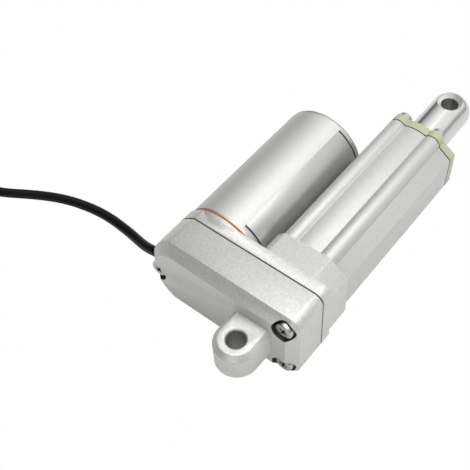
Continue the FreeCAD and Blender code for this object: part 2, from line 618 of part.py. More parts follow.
def make_rear_cover():
    """Cast half with the bevelled rim, the lug and the sunk seats of its screws."""
    body = new_body("rear_cover")
    outline = new_sketch(body, "CoverOutline", "YZ_Plane", "bevel_front")
    draw_loop(outline, BOX)
    pad(body, "CoverBlock", outline, "bevel_front", "cover_front")
    rear_outline = new_sketch(body, "RearFaceOutline", "YZ_Plane", "rear_face")
    draw_loop(rear_outline, REAR_FACE)
    bevel = body.newObject("PartDesign::AdditiveLoft", "RearBevel")
    bevel.Profile = rear_outline
    bevel.Sections = [outline]
    bevel.Ruled = True

    lug_outline = new_sketch(body, "LugOutline", "XY_Plane", "-lug_half")
    draw_loop(lug_outline, [
        ("lug_root", "lug_radius"),
        ("0", "lug_radius", "lug_radius"),
        ("-lug_radius", "0", "lug_radius"),
        ("0", "-lug_radius"),
        ("lug_root", "-lug_radius"),
    ])
    lug = pad(body, "Lug", lug_outline, "-lug_half", "lug_half")
    doc.recompute()
    rear = read("rear_face")
    half = read("lug_half")

    def on_lug_flat(first, second):
        level = near(abs(first.z), half) and near(first.z, second.z)
        return level and min(first.x, second.x) < rear - 0.01

    lug_bevel = body.newObject("PartDesign::Chamfer", "LugBevel")
    lug_bevel.Base = (lug, edges_where(lug.Shape, on_lug_flat))
    lug_bevel.setExpression("Size", bound("lug_bevel"))

    bore_circle = new_sketch(body, "RearBoreCircle", "XY_Plane", "lug_half")
    draw_circle(bore_circle, "0", "0", "eye_bore")
    bore = pocket(body, "RearBore", bore_circle, "lug_half", "-lug_half")
    doc.recompute()
    rims = []
    for number, edge in enumerate(bore.Shape.Edges):
        closed = len(edge.Vertexes) == 1
        round_the_bore = near(edge.Length, math.tau * read("eye_bore"))
        if closed and near(abs(edge.Vertexes[0].Z), half) and round_the_bore:
            rims.append("Edge%d" % (number + 1))
    rim_bevel = body.newObject("PartDesign::Chamfer", "RearBoreRims")
    rim_bevel.Base = (bore, rims)
    rim_bevel.setExpression("Size", bound("rim_bevel"))

    room = new_sketch(body, "GearRoomOutline", "YZ_Plane", "cover_front")
    draw_loop(room, ROOM)
    pocket(body, "GearRoom", room, "cover_front", "cover_floor")
    pinion_room = new_sketch(body, "PinionRoomCircle", "YZ_Plane", "cover_front")
    draw_circle(pinion_room, "motor_offset", "0", "pinion_room")
    pocket(body, "PinionRoom", pinion_room, "cover_front", "cover_floor")

    sinks = new_sketch(body, "ScrewSinkCircles", "YZ_Plane", "sink_floor")
    circles(sinks, COVER_SCREWS, "sink_radius")
    pocket(body, "ScrewSinks", sinks, "sink_floor", "0")
    holes = new_sketch(body, "ScrewHoleCircles", "YZ_Plane", "cover_front")
    circles(holes, COVER_SCREWS, "screw_hole")
    pocket(body, "ScrewHoles", holes, "cover_front", "0")
    bush_seat = new_sketch(body, "BushSeatCircle", "YZ_Plane", "cover_front")
    draw_circle(bush_seat, "0", "0", "bush_outer")
    pocket(body, "BushSeat", bush_seat, "cover_front", "bush_rear")
    pin_seat = new_sketch(body, "PinSeatCircle", "YZ_Plane", "cover_front")
    draw_circle(pin_seat, "idler_offset", "0", "pin_radius")
    pocket(body, "PinSeat", pin_seat, "cover_front", "pin_rear")
    side_hole(body, "GrommetHole", "grommet_radius", "grommet_inner")
    side_hole(body, "WireHole", "wire_hole", "motor_offset")
    node(body)


def side_hole(body, name, radius, inner):
    """Cut the cable's hole into the round end, from outside to a named depth."""
    sketch = new_sketch(body, name + "Circle", "XZ_Plane", "-grommet_outer")
    draw_circle(sketch, "cable_x", "-cable_drop", radius)
    hole = body.newObject("PartDesign::Pocket", name)
    hole.Profile = sketch
    hole.setExpression("Length", difference("grommet_outer", inner))
    doc.recompute()
    before = hole.BaseFeature.Shape.Volume
    if hole.Shape.isNull() or hole.Shape.Volume > before - 1:
        hole.Reversed = True


# Front housing: gearbox wall, motor collar and tube socket


def make_front_housing():
    """Cast half with the motor's collar and the tube's socket."""
    body = new_body("front_housing")
    outline = new_sketch(body, "PlateOutline", "YZ_Plane", "housing_rear")
    draw_loop(outline, BOX)
    pad(body, "Plate", outline, "housing_rear", "front_face")
    slope = new_sketch(body, "CollarProfile", "XY_Plane", "0", "motor_offset")
    draw_loop(slope, [
        ("collar_rear", "0"),
        ("front_face", "0"),
        ("front_face", "end_radius"),
        ("collar_rear", "box_half"),
    ])
    collar = body.newObject("PartDesign::Revolution", "MotorCollar")
    collar.Profile = slope
    collar.ReferenceAxis = (slope, ["H_Axis"])
    collar.Angle = 360
    socket_outline = new_sketch(body, "SocketOutline", "YZ_Plane", "housing_rear")
    draw_loop(socket_outline, SOCKET)
    socket = pad(body, "Socket", socket_outline, "housing_rear", "socket_front")
    doc.recompute()
    front = read("socket_front")

    def along_socket(first, second):
        reaches = near(max(first.x, second.x), front)
        return reaches and not near(first.x, second.x)

    rounding = body.newObject("PartDesign::Fillet", "SocketEdges")
    rounding.Base = (socket, edges_where(socket.Shape, along_socket))
    rounding.setExpression("Radius", bound("socket_round"))

    recess = new_sketch(body, "TubeRecessOutline", "YZ_Plane", "socket_front")
    draw_loop(recess, RECESS)
    pocket(body, "TubeRecess", recess, "socket_front", "tube_rear")
    steps = [
        ("ClipSeat", "0", "clip_radius", "tube_rear", "bearing_front"),
        ("BearingSeat", "0", "bearing_outer", "bearing_front", "bearing_rear"),
        ("Shoulder", "0", "shoulder_radius", "bearing_rear", "seam"),
        ("MotorHole", "motor_offset", "boss_hole", "front_face", "seam"),
        ("PinHole", "idler_offset", "pin_radius", "pin_front", "seam"),
    ]
    for name, across, radius, mouth, floor in steps:
        circle = new_sketch(body, name + "Circle", "YZ_Plane", mouth)
        draw_circle(circle, across, "0", radius)
        pocket(body, name, circle, mouth, floor)
    holes = new_sketch(body, "ThreadedHoleCircles", "YZ_Plane", "shank_end")
    circles(holes, COVER_SCREWS, "screw_hole")
    pocket(body, "ThreadedHoles", holes, "shank_end", "seam")
    node(body)


def make_housing_gasket():
    """Thin seal between the two cast halves."""
    body = new_body("housing_gasket")
    outline = new_sketch(body, "GasketOutline", "YZ_Plane", "cover_front")
    draw_loop(outline, BOX)
    pad(body, "GasketSheet", outline, "cover_front", "housing_rear")
    opening = new_sketch(body, "GasketOpening", "YZ_Plane", "housing_rear")
    draw_loop(opening, ROOM)
    circles(opening, COVER_SCREWS, "screw_hole")
    pocket(body, "GasketWindow", opening, "housing_rear", "cover_front")
    pinion_room = new_sketch(body, "GasketPinionCircle", "YZ_Plane", "housing_rear")
    draw_circle(pinion_room, "motor_offset", "0", "pinion_room")
    pocket(body, "GasketPinionWindow", pinion_room, "housing_rear", "cover_front")
    node(body)


def make_screws(label, centres, radii, planes):
    """Make a set of equal cap-headed screws along X: head, then shank."""
    body = new_body(label)
    body.AllowCompound = True
    head_radius, shank_radius = radii
    head_start, head_end, shank_start, shank_end = planes
    heads = new_sketch(body, label + "_head_circles", "YZ_Plane", head_start)
    circles(heads, centres, head_radius)
    pad(body, label + "_heads", heads, head_start, head_end)
    shanks = new_sketch(body, label + "_shank_circles", "YZ_Plane", shank_start)
    circles(shanks, centres, shank_radius)
    pad(body, label + "_shanks", shanks, shank_start, shank_end)
    node(body)


# Tube and front cap


def make_outer_tube():
    """Extruded tube with four screw channels and a chamber for the switches."""
    body = new_body("outer_tube")
    outline = new_sketch(body, "TubeOutline", "YZ_Plane", "tube_rear")
    draw_loop(outline, TUBE)
    pad(body, "Extrusion", outline, "tube_rear", "tube_front")
    chamber = new_sketch(body, "ChamberOutline", "YZ_Plane", "tube_front")
    draw_loop(chamber, [
        ("0", "chamber_half"),
        ("-chamber_floor", "chamber_half"),
        ("-chamber_floor", "-chamber_half"),
        ("0", "-chamber_half"),
    ])
    pocket(body, "Chamber", chamber, "tube_front", "tube_rear")
    bore = new_sketch(body, "BoreCircle", "YZ_Plane", "tube_front")
    draw_circle(bore, "0", "0", "tube_bore")
    pocket(body, "Bore", bore, "tube_front", "tube_rear")
    channels = new_sketch(body, "ChannelCircles", "YZ_Plane", "tube_front")
    circles(channels, CHANNELS, "channel_hole")
    pocket(body, "Channels", channels, "tube_front", "tube_rear")
    node(body)


def make_end_plate(label, start, finish, opening):
    """Make a plate of the tube's outline with a round opening and four screw holes."""
    body = new_body(label)
    sketch = new_sketch(body, label + "_outline", "YZ_Plane", start)
    draw_loop(sketch, TUBE)
    draw_circle(sketch, "0", "0", opening)
    circles(sketch, CHANNELS, "channel_hole")
    pad(body, label + "_plate", sketch, start, finish)
    return node(body)


def make_front_cap():
    """Moulded cap with the seats of the screws and of the rod's seal."""
    body = make_end_plate("front_cap", "cap_rear", "cap_front", "cap_hole")
    seat = new_sketch(body, "SealSeatCircle", "YZ_Plane", "cap_front")
    draw_circle(seat, "0", "0", "seal_radius")
    pocket(body, "SealSeat", seat, "cap_front", "seal_rear")


# Turned pieces about an axis along X


def turned(label, profile, axis="0"):
    """Turn a closed half profile of (x, radius) corners about the tube or motor axis."""
    body = new_body(label)
    sketch = new_sketch(body, label + "_profile", "XY_Plane", "0", axis)
    draw_loop(sketch, profile)
    turn = body.newObject("PartDesign::Revolution", label + "_turned")
    turn.Profile = sketch
    turn.ReferenceAxis = (sketch, ["H_Axis"])
    turn.Angle = 360
    return node(body)


def ring(label, start, finish, inner, outer, axis="0"):
    """Turn a plain ring, bush or pin."""
    return turned(label, [
        (finish, outer),
        (start, outer),
        (start, inner),
        (finish, inner),
    ], axis)


def groove_race(body, label):
    """Cut the balls' groove into a bearing race."""
    sketch = new_sketch(body, label + "_groove_circle", "XY_Plane")
    draw_circle(sketch, "bearing_middle", "ball_circle", "groove_radius")
    groove = body.newObject("PartDesign::Groove", label + "_groove")
    groove.Profile = sketch
    groove.ReferenceAxis = (sketch, ["H_Axis"])
    groove.Angle = 360


def make_bearing():
    """Ball bearing of the spindle: two races, balls and cage."""
    outer = ring("front_bearing_outer", "bearing_rear", "bearing_front", "outer_race", "bearing_outer")
    groove_race(outer, "outer_race")
    inner = ring("front_bearing_inner", "bearing_rear", "bearing_front", "seat_radius", "inner_race")
    groove_race(inner, "inner_race")
    balls = new_body("front_bearing_balls")
    balls.AllowCompound = True
    half_disc = new_sketch(balls, "BallProfile", "XY_Plane", "0", "ball_circle")
    draw_loop(half_disc, [
        ("ball_front", "0", "ball_radius"),
        ("bearing_middle", "ball_radius", "ball_radius"),
        ("ball_rear", "0"),
    ])
    ball = balls.newObject("PartDesign::Revolution", "Ball")
    ball.Profile = half_disc
    ball.ReferenceAxis = (half_disc, ["H_Axis"])
    ball.Angle = 360
    repeat_round(balls, ball, "Balls", "0", "ball_count")
    node(balls)
    cage = ring("front_bearing_cage", "cage_rear", "cage_front", "cage_inner", "cage_outer")
    hole_circle = new_sketch(cage, "CageHoleCircle", "XZ_Plane", "-cut_side")
    draw_circle(hole_circle, "bearing_middle", "0", "groove_radius")
    hole = cage.newObject("PartDesign::Pocket", "CageHole")
    hole.Profile = hole_circle
    hole.setExpression("Length", bound("cut_side"))
    hole.Reversed = True
    repeat_round(cage, hole, "CageHoles", "0", "ball_count")


def repeat_round(body, feature, name, axis, count):
    """Repeat a feature evenly round the tube or motor axis."""
    centre = new_sketch(body, name + "Centre", "YZ_Plane", "0", axis)
    centre.addGeometry(Part.Point(FreeCAD.Vector(0, 0, 0)), True)
    pattern = body.newObject("PartDesign::PolarPattern", name)
    pattern.Originals = [feature]
    pattern.Axis = (centre, ["N_Axis"])
    pattern.Angle = 360
    pattern.setExpression("Occurrences", bound(count))
    body.Tip = pattern


# Rod, nut and switch parts


def make_piston_rod():
    """Rod with its round end and the eye's countersunk bore."""
    body = turned("piston_rod", [
        ("rod_tip", "0"),
        ("rod_tip", "rod_radius"),
        ("rod_rear", "rod_radius"),
        ("rod_rear", "rod_bore"),
        ("rod_solid", "rod_bore"),
        ("rod_solid", "0"),
    ])
    outside = new_sketch(body, "EndCutOutline", "XY_Plane", "cut_side")
    draw_loop(outside, [
        ("rod_tip", "0", "rod_radius"),
        ("eye_spacing", "rod_radius"),
        ("eye_spacing", "cut_side"),
        ("cut_front", "cut_side"),
        ("cut_front", "-cut_side"),
        ("eye_spacing", "-cut_side"),
        ("eye_spacing", "-rod_radius", "rod_radius"),
    ])
    pocket(body, "RoundEnd", outside, "cut_side", "-cut_side")
    bore = new_sketch(body, "EyeBoreProfile", "XZ_Plane", "0", "eye_spacing")
    draw_loop(bore, [
        ("0", "countersink_top"),
        ("0", "-countersink_top"),
        ("countersink_radius", "-countersink_top"),
        ("eye_bore", "-countersink_wall"),
        ("eye_bore", "countersink_wall"),
        ("countersink_radius", "countersink_top"),
    ])
    groove = body.newObject("PartDesign::Groove", "EyeBore")
    groove.Profile = bore
    groove.ReferenceAxis = (bore, ["V_Axis"])
    groove.Angle = 360


def make_spindle_nut():
    """Nut on the spindle, fixed in the rod."""
    turned("spindle_nut", [
        ("nut_spigot_end", "nut_bore"),
        ("nut_spigot_end", "nut_spigot"),
        ("rod_rear", "nut_spigot"),
        ("rod_rear", "nut_flange"),
        ("nut_rear", "nut_flange"),
        ("nut_rear", "nut_bore"),
    ])


def block(name, middle, half_length, inner, outer, half_height):
    """Make a box on the side of the tube away from the motor."""
    box = doc.addObject("Part::Box", name)
    box.setExpression("Length", "2 * " + bound(half_length))
    box.setExpression("Width", difference(outer, inner))
    box.setExpression("Height", "2 * " + bound(half_height))
    box.setExpression("Placement.Base.x", middle + " - " + bound(half_length))
    box.setExpression("Placement.Base.y", "-" + bound(outer))
    box.setExpression("Placement.Base.z", "-" + bound(half_height))
    return box


def make_switch_cam():
    """Lump on the nut that presses the switches."""
    lump = block(
        "CamBlock", bound("cam_middle"), "cam_half_length", "thread_radius", "cam_reach", "cam_half")
    flange = lying_cylinder("CamSeat", "nut_rear", "rod_rear", "nut_flange")
    cam = doc.addObject("Part::Cut", "switch_cam")
    cam.Label = "switch_cam"
    cam.Base = lump
    cam.Tool = flange
    node(cam)


def make_limit_switches():
    """Board in the tube's chamber with a switch for each end of the stroke."""
    board = block("limit_switch_board", bound("board_middle"), "board_half_length",
                  "board_face", "chamber_floor", "board_half")
    node(board)
    ends = [
        ("SwitchRear", bound("cam_middle")),
        ("SwitchFront", bound("cam_middle") + " + " + bound("stroke")),
    ]
    switches = doc.addObject("Part::Compound", "limit_switches")
    switches.Label = "limit_switches"
    switches.Links = [
        block(name, middle, "switch_half_length", "switch_face", "board_face", "switch_half")
        for name, middle in ends
    ]
    node(switches)


def lying_cylinder(name, start, finish, radius, axis="0"):
    """Make a cylinder along X about the tube or motor axis."""
    cylinder = doc.addObject("Part::Cylinder", name)
    cylinder.Placement.Rotation = FreeCAD.Rotation(FreeCAD.Vector(0, 1, 0), 90)
    cylinder.setExpression("Radius", bound(radius))
    cylinder.setExpression("Height", difference(finish, start))
    cylinder.setExpression("Placement.Base.x", bound(start))
    cylinder.setExpression("Placement.Base.y", bound(axis))
    return cylinder


# Gears


def involute(angle):
    """Give a point of an involute."""
    return math.tan(angle) - angle


def gear_outline(teeth, tooth_at):
    """Draw a spur gear's outline with involute flanks, a tooth centred at an angle."""
    module = read("gear_module")
    pitch = module * teeth / 2
    pressure = math.radians(read("pressure_angle"))
    base = pitch * math.cos(pressure)
    tip = pitch + module * read("addendum")
    root = pitch - module * read("dedendum")
    width = math.pi * module / 2 - read("tooth_thinning")
    half_at_pitch = width / (2 * pitch) + involute(pressure)
    start = max(base, root)
    steps = 5

    def half_angle(radius):
        return half_at_pitch - involute(math.acos(min(base / radius, 1)))

    def point(radius, angle):
        return FreeCAD.Vector(0, radius * math.cos(angle), radius * math.sin(angle))

    edges = []
    pitch_angle = math.tau / teeth
    for number in range(teeth):
        middle = tooth_at + number * pitch_angle
        radii = [start + (tip - start) * step / steps for step in range(steps + 1)]
        rising = [point(radius, middle - half_angle(radius)) for radius in radii]
        falling = [point(radius, middle + half_angle(radius)) for radius in reversed(radii)]
        foot = half_angle(start)
        if root < base:
            edges.append(Part.makeLine(point(root, middle - foot), rising[0]))
        for flank in (rising, falling):
            curve = Part.BSplineCurve()
            curve.interpolate(flank)
            edges.append(curve.toShape())
            if flank is rising:
                edges.append(Part.Arc(rising[-1], point(tip, middle), falling[0]).toShape())
        if root < base:
            edges.append(Part.makeLine(falling[-1], point(root, middle + foot)))
        valley = point(root, middle + pitch_angle / 2)
        following = point(root, middle + pitch_angle - foot)
        edges.append(Part.Arc(point(root, middle + foot), valley, following).toShape())
    return Part.Wire(edges)


def gear(teeth, tooth_at, start, finish, axis):
    """Raise a gear's outline between two planes about a named axis."""
    face = Part.Face(gear_outline(int(read(teeth)), tooth_at))
    solid = face.extrude(FreeCAD.Vector(read(finish) - read(start), 0, 0))
    solid.translate(FreeCAD.Vector(read(start), read(axis), 0))
    return solid


def hub(start, finish, radius, axis):
    """Make a plain cylinder for a gear's hub or bore."""
    place_at = FreeCAD.Vector(read(start), read(axis), 0)
    along = FreeCAD.Vector(1, 0, 0)
    return Part.makeCylinder(read(radius), read(finish) - read(start), place_at, along)


def keep_shape(label, shape):
    """Keep a shape that neither sketches nor primitives describe."""
    piece = doc.addObject("Part::Feature", label)
    piece.Label = label
    piece.Shape = shape
    return node(piece)


def make_gears():
    """Gear train from the motor's pinion to the spindle."""
    half_pitch = math.pi / read("drive_teeth")
    drive = gear("drive_teeth", half_pitch, "drive_rear", "drive_front", "0")
    drive = drive.fuse(hub("drive_rear", "hub_front", "hub_radius", "0"))
    keep_shape("drive_gear", drive.cut(hub("drive_rear", "hub_front", "seat_radius", "0")).removeSplitter())

    small = gear("idler_teeth", math.pi, "idler_rear", "idler_step", "idler_offset")
    wheel_pitch = math.pi / read("wheel_teeth")
    wheel = gear("wheel_teeth", wheel_pitch, "wheel_rear", "wheel_front", "idler_offset")
    idler = small.fuse([wheel, hub("idler_start", "idler_end", "idler_hub", "idler_offset")])
    idler = idler.cut(hub("idler_start", "idler_end", "idler_bore", "idler_offset"))
    keep_shape("idler_gear", idler.removeSplitter())

    pinion = gear("pinion_teeth", math.pi, "pinion_rear", "pinion_front", "motor_offset")
    bore = hub("pinion_rear", "pinion_front", "shaft_radius", "motor_offset")
    keep_shape("motor_pinion", pinion.cut(bore))


# Motor


def make_motor_casing():
    """Can of the motor with its front bell, end cap, seal and foil."""
    ring("motor_seal", "front_face", "seal_front_x", "seal_inner", "seal_outer", "motor_offset")
    turned("motor_front_bell", [
        ("ring_front", "motor_radius"),
        ("seal_front_x", "motor_radius"),
        ("seal_front_x", "boss_outer"),
        ("boss_rear", "boss_outer"),
        ("boss_rear", "motor_bush_radius"),
        ("front_bush_end", "motor_bush_radius"),
        ("front_bush_end", "shaft_room"),
        ("ring_front", "shaft_room"),
        ("ring_front", "spigot_inner"),
        ("ring_spigot_end", "spigot_inner"),
        ("ring_spigot_end", "spigot_radius"),
        ("ring_front", "spigot_radius"),
    ], "motor_offset")
    ring("motor_can", "can_rear", "can_front", "can_inner", "motor_radius", "motor_offset")
    turned("motor_end_cap", [
        ("cap_spigot_rear", "motor_bush_radius"),
        ("rear_bush_end", "motor_bush_radius"),
        ("rear_bush_end", "0"),
        ("motor_end", "0"),
        ("motor_end", "cap_face", "end_rounding"),
        ("cap_shoulder", "motor_radius"),
        ("cap_joint", "motor_radius"),
        ("cap_joint", "spigot_radius"),
        ("cap_spigot_rear", "spigot_radius"),
        ("cap_spigot_rear", "spigot_inner"),
        ("cap_joint", "spigot_inner"),
        ("cap_joint", "cap_boss"),
        ("cap_spigot_rear", "cap_boss"),
    ], "motor_offset")
    ring("motor_front_bush", "boss_rear", "front_bush_end", "motor_bush_inner", "motor_bush_radius",
         "motor_offset")
    ring("motor_rear_bush", "cap_spigot_rear", "rear_bush_end", "motor_bush_inner", "motor_bush_radius",
         "motor_offset")


def sector(name, start, length, radii, sweep, first_angle):
    """Make part of a ring about the motor axis, from an angle measured from +Y to +Z."""
    inner, outer = radii
    turn = math.radians(first_angle)
    towards = FreeCAD.Vector(0, math.cos(turn), math.sin(turn))
    along = FreeCAD.Vector(1, 0, 0)
    facing = FreeCAD.Rotation(towards, along.cross(towards), along, "ZXY")
    parts = []
    for suffix, radius in (("Outer", outer), ("Inner", inner)):
        wedge = doc.addObject("Part::Cylinder", name + suffix)
        wedge.Placement.Rotation = facing
        wedge.setExpression("Radius", bound(radius))
        wedge.setExpression("Height", bound(length))
        wedge.setExpression("Placement.Base.x", bound(start))
        wedge.setExpression("Placement.Base.y", bound("motor_offset"))
        parts.append(wedge)
    parts[0].setExpression("Angle", bound(sweep))
    cut = doc.addObject("Part::Cut", name)
    cut.Base = parts[0]
    cut.Tool = parts[1]
    return cut


def make_motor_inside():
    """Magnets, brushes and bushes that stay with the can."""
    label = sector("motor_label", "label_rear", "label_length", ("motor_radius", "label_outer"),
                   "label_sweep", -read("label_edge"))
    label.Label = "motor_label"
    node(label)
    magnets = doc.addObject("Part::Compound", "motor_magnets")
    magnets.Label = "motor_magnets"
    half_arc = read("magnet_angle") / 2
    magnets.Links = [
        sector("Magnet" + side, "magnet_rear", "magnet_length", ("magnet_inner", "can_inner"),
               "magnet_angle", middle - half_arc)
        for side, middle in (("Tube", 180), ("Away", 0))
    ]
    node(magnets)
    ring("brush_card", "card_rear", "cap_spigot_rear", "card_hole", "card_outer", "motor_offset")
    brushes = doc.addObject("Part::Compound", "motor_brushes")
    brushes.Label = "motor_brushes"
    brushes.Links = [make_brush("Upper", ""), make_brush("Lower", "-")]
    node(brushes)


def make_brush(name, sign):
    """Make one carbon brush above or below the commutator."""
    brush = doc.addObject("Part::Box", "Brush" + name)
    brush.setExpression("Length", difference("card_rear", "brush_rear"))
    brush.setExpression("Width", "2 * " + bound("brush_half"))
    brush.setExpression("Height", bound("brush_length"))
    brush.setExpression("Placement.Base.x", bound("brush_rear"))
    brush.setExpression("Placement.Base.y", difference("motor_offset", "brush_half"))
    if sign:
        brush.setExpression("Placement.Base.z", "-" + bound("brush_near") + " - " + bound("brush_length"))
    else:
        brush.setExpression("Placement.Base.z", bound("brush_near"))
    return brush


def slot_box(body, name, start, finish, floor, width):
    """Draw one slot upwards from the motor axis, as a sketch on its start plane."""
    half = width + "_half"
    sketch = new_sketch(body, name + "Outline", "YZ_Plane", start, "motor_offset")
    draw_loop(sketch, [
        (half, floor),
        (half, "can_inner"),
        ("-" + half, "can_inner"),
        ("-" + half, floor),
    ])
    return sketch


def slotted(label, start, finish, radius, floor, width):
    """Turn a ring on the motor shaft and cut its slots along X."""
    body = ring(label, start, finish, "shaft_radius", radius, "motor_offset")
    sketch = slot_box(body, label + "_slot", finish, start, floor, width)
    slot = pocket(body, label + "_slot", sketch, finish, start)
    repeat_round(body, slot, label + "_slots", "motor_offset", "slot_count")


def make_rotor():
    """Shaft, core, windings and commutator."""
    ring("motor_shaft", "shaft_rear", "shaft_front", "0", "shaft_radius", "motor_offset")
    slotted("armature_core", "core_rear", "core_front", "core_radius", "slot_floor", "slot_width")
    slotted("commutator", "commutator_rear", "commutator_front", "commutator_radius", "slit_floor",
            "slit_width")
    body = new_body("armature_windings")
    body.AllowCompound = True
    bundle = new_sketch(body, "BundleOutline", "YZ_Plane", "core_rear", "motor_offset")
    draw_loop(bundle, [
        ("winding_half", "winding_floor"),
        ("winding_half", "winding_top"),
        ("-winding_half", "winding_top"),
        ("-winding_half", "winding_floor"),
    ])
    filling = pad(body, "Bundle", bundle, "core_rear", "core_front")
    repeat_round(body, filling, "Bundles", "motor_offset", "slot_count")
    ends = [("Rear", "winding_rear", "core_rear"), ("Front", "core_front", "winding_front")]
    for name, start, finish in ends:
        head = new_sketch(body, "Head" + name + "Circles", "YZ_Plane", start, "motor_offset")
        draw_circle(head, "0", "0", "winding_radius")
        draw_circle(head, "0", "0", "shaft_radius")
        pad(body, "Head" + name, head, start, finish)
    node(body)


# Cable: straight runs joined by tangent arcs, then a coil and two bare leads


def tangent_point(centre, radius, outside):
    """Find where a line from a point meets a circle, the centre on its left."""
    away = outside - centre
    swing = math.acos(radius / away.Length)
    heading = math.atan2(away.y, away.x) + swing
    return centre + FreeCAD.Vector(math.cos(heading), math.sin(heading), 0) * radius


def rounded_route(points):
    """Join points by straight runs and tangent arcs, and give the wire and its length."""
    edges = []
    previous = points[0]
    for before, corner, after in zip(points, points[1:], points[2:]):
        come = (corner - before)
        go = (after - corner)
        half_turn = come.getAngle(go) / 2
        reach = 0.45 * min(come.Length, go.Length)
        print("bend radius %.1f mm" % (reach / math.tan(half_turn)))
        come = come.normalize()
        go = go.normalize()
        begin = corner - come * reach
        finish = corner + go * reach
        radius = reach / math.tan(half_turn)
        inward = (go - come).normalize()
        middle = corner + inward * (radius / math.cos(half_turn) - radius)
        edges.append(Part.makeLine(previous, begin))
        edges.append(Part.Arc(begin, middle, finish).toShape())
        previous = finish
    edges.append(Part.makeLine(previous, points[-1]))
    return Part.Wire(edges)


def make_cable():
    """Cable from the grommet to the coil, along its route."""
    level = read("cable_radius") - read("table_depth")
    exit_x = read("cable_x")
    exit_z = -read("cable_drop")
    route = [
        FreeCAD.Vector(exit_x, read("cable_inner"), exit_z),
        FreeCAD.Vector(exit_x, 57, exit_z),
        FreeCAD.Vector(20.2, 67.4, -12),
        FreeCAD.Vector(23.9, 80.7, -16.3),
        FreeCAD.Vector(25.5, 95.9, level),
        FreeCAD.Vector(24.2, 106.9, level),
        FreeCAD.Vector(21.1, 118.7, level),
        FreeCAD.Vector(15.2, 131.1, level),
        FreeCAD.Vector(5.1, 146.1, level),
    ]
    centre = FreeCAD.Vector(read("coil_x"), read("coil_y"), level)
    joint = tangent_point(centre, read("turn_outer"), route[-1])
    route.append(joint)
    print("cable meets the coil at", joint)
    wire = rounded_route(route)
    radius = read("cable_radius")
    along = FreeCAD.Vector(0, 1, 0)
    section = Part.Wire([Part.makeCircle(radius, route[0], along)])
    tube = wire.makePipeShell([section], True, False)
    if tube.ShapeType != "Solid":
        tube = Part.makeSolid(tube)
    expected = math.pi * radius ** 2 * wire.Length
    print("cable volume %.1f, section times length %.1f" % (tube.Volume, expected))
    keep_shape("cable", tube)


def make_cable_coil():
    """Ring that stands for the coiled rest of the cable."""
    cylinders = []
    for name, radius in (("CoilOuter", "coil_outer"), ("CoilInner", "coil_inner")):
        cylinder = doc.addObject("Part::Cylinder", name)
        cylinder.setExpression("Radius", bound(radius))
        cylinder.setExpression("Height", bound("coil_height"))
        cylinder.setExpression("Placement.Base.x", bound("coil_x"))
        cylinder.setExpression("Placement.Base.y", bound("coil_y"))
        cylinder.setExpression("Placement.Base.z", "-" + bound("table_depth"))
        cylinders.append(cylinder)
    coil = doc.addObject("Part::Cut", "cable_coil")
    coil.Label = "cable_coil"
    coil.Base = cylinders[0]
    coil.Tool = cylinders[1]
    node(coil)


def make_cable_grommet():
    """Set the rubber collar into its hole in the round end."""
    body = new_body("cable_grommet")
    circles_at_wall = new_sketch(body, "GrommetCircles", "XZ_Plane", "-grommet_outer")
    draw_circle(circles_at_wall, "cable_x", "-cable_drop", "grommet_radius")
    draw_circle(circles_at_wall, "cable_x", "-cable_drop", "cable_radius")
    collar = body.newObject("PartDesign::Pad", "GrommetCollar")
    collar.Profile = circles_at_wall
    collar.setExpression("Length", difference("grommet_outer", "grommet_inner"))
    node(body)


def make_lead_wires():
    """Lay two thin leads from the cable's end on the coil down to the table."""
    turn = math.radians(read("lead_angle"))
    outward = FreeCAD.Vector(math.cos(turn), math.sin(turn), 0)
    along = FreeCAD.Vector(-math.sin(turn), math.cos(turn), 0)
    top = read("coil_height") - read("cable_radius") - read("table_depth")
    centre = FreeCAD.Vector(read("coil_x"), read("coil_y"), top)
    radius = read("lead_radius")
    fall = FreeCAD.Vector(0, 0, read("lead_radius") - read("table_depth") - top)
    leads = []
    for side in (-1, 1):
        start = centre + outward * (read("turn_outer") + side * (radius + read("running_gap")))
        way = along * read("lead_length") + outward * side * read("lead_spread") + fall
        leads.append(Part.makeCylinder(radius, way.Length, start, way))
    keep_shape("lead_wires", Part.Compound(leads))


make_rear_cover()
make_front_housing()
make_housing_gasket()
make_screws("cover_screws", COVER_SCREWS, ("head_radius", "shank_radius"),
            ("head_face", "sink_floor", "head_face", "shank_end"))
make_outer_tube()
make_end_plate("cap_gasket", "tube_front", "cap_rear", "tube_bore")
make_front_cap()
make_screws("cap_screws", CHANNELS, ("cap_head_radius", "cap_shank_radius"),
            ("cap_front", "cap_head_front", "cap_shank_tip", "cap_front"))
ring("rod_guide", "guide_rear", "tube_front", "guide_inner", "guide_outer")
ring("rod_seal", "seal_rear", "seal_front", "guide_inner", "seal_radius")
make_piston_rod()
make_spindle_nut()
make_switch_cam()
make_limit_switches()
turned("spindle", [
    ("thread_end", "0"),
    ("thread_end", "thread_radius"),
    ("thrust_front", "thread_radius"),
    ("thrust_front", "collar_radius"),
    ("thrust_rear", "collar_radius"),
    ("thrust_rear", "seat_radius"),
    ("journal_front", "seat_radius"),
    ("journal_front", "journal_radius"),
    ("journal_rear", "journal_radius"),
    ("journal_rear", "0"),
])
ring("rear_bush", "bush_rear", "bush_front", "bush_inner", "bush_outer")
ring("bearing_clip", "bearing_front", "tube_rear", "clip_inner", "clip_radius")
make_bearing()
make_gears()
ring("idler_pin", "pin_rear", "pin_front", "0", "pin_radius", "idler_offset")
make_motor_casing()
make_motor_inside()
make_rotor()
make_cable_grommet()
make_cable()
make_cable_coil()
make_lead_wires()
doc.recompute()

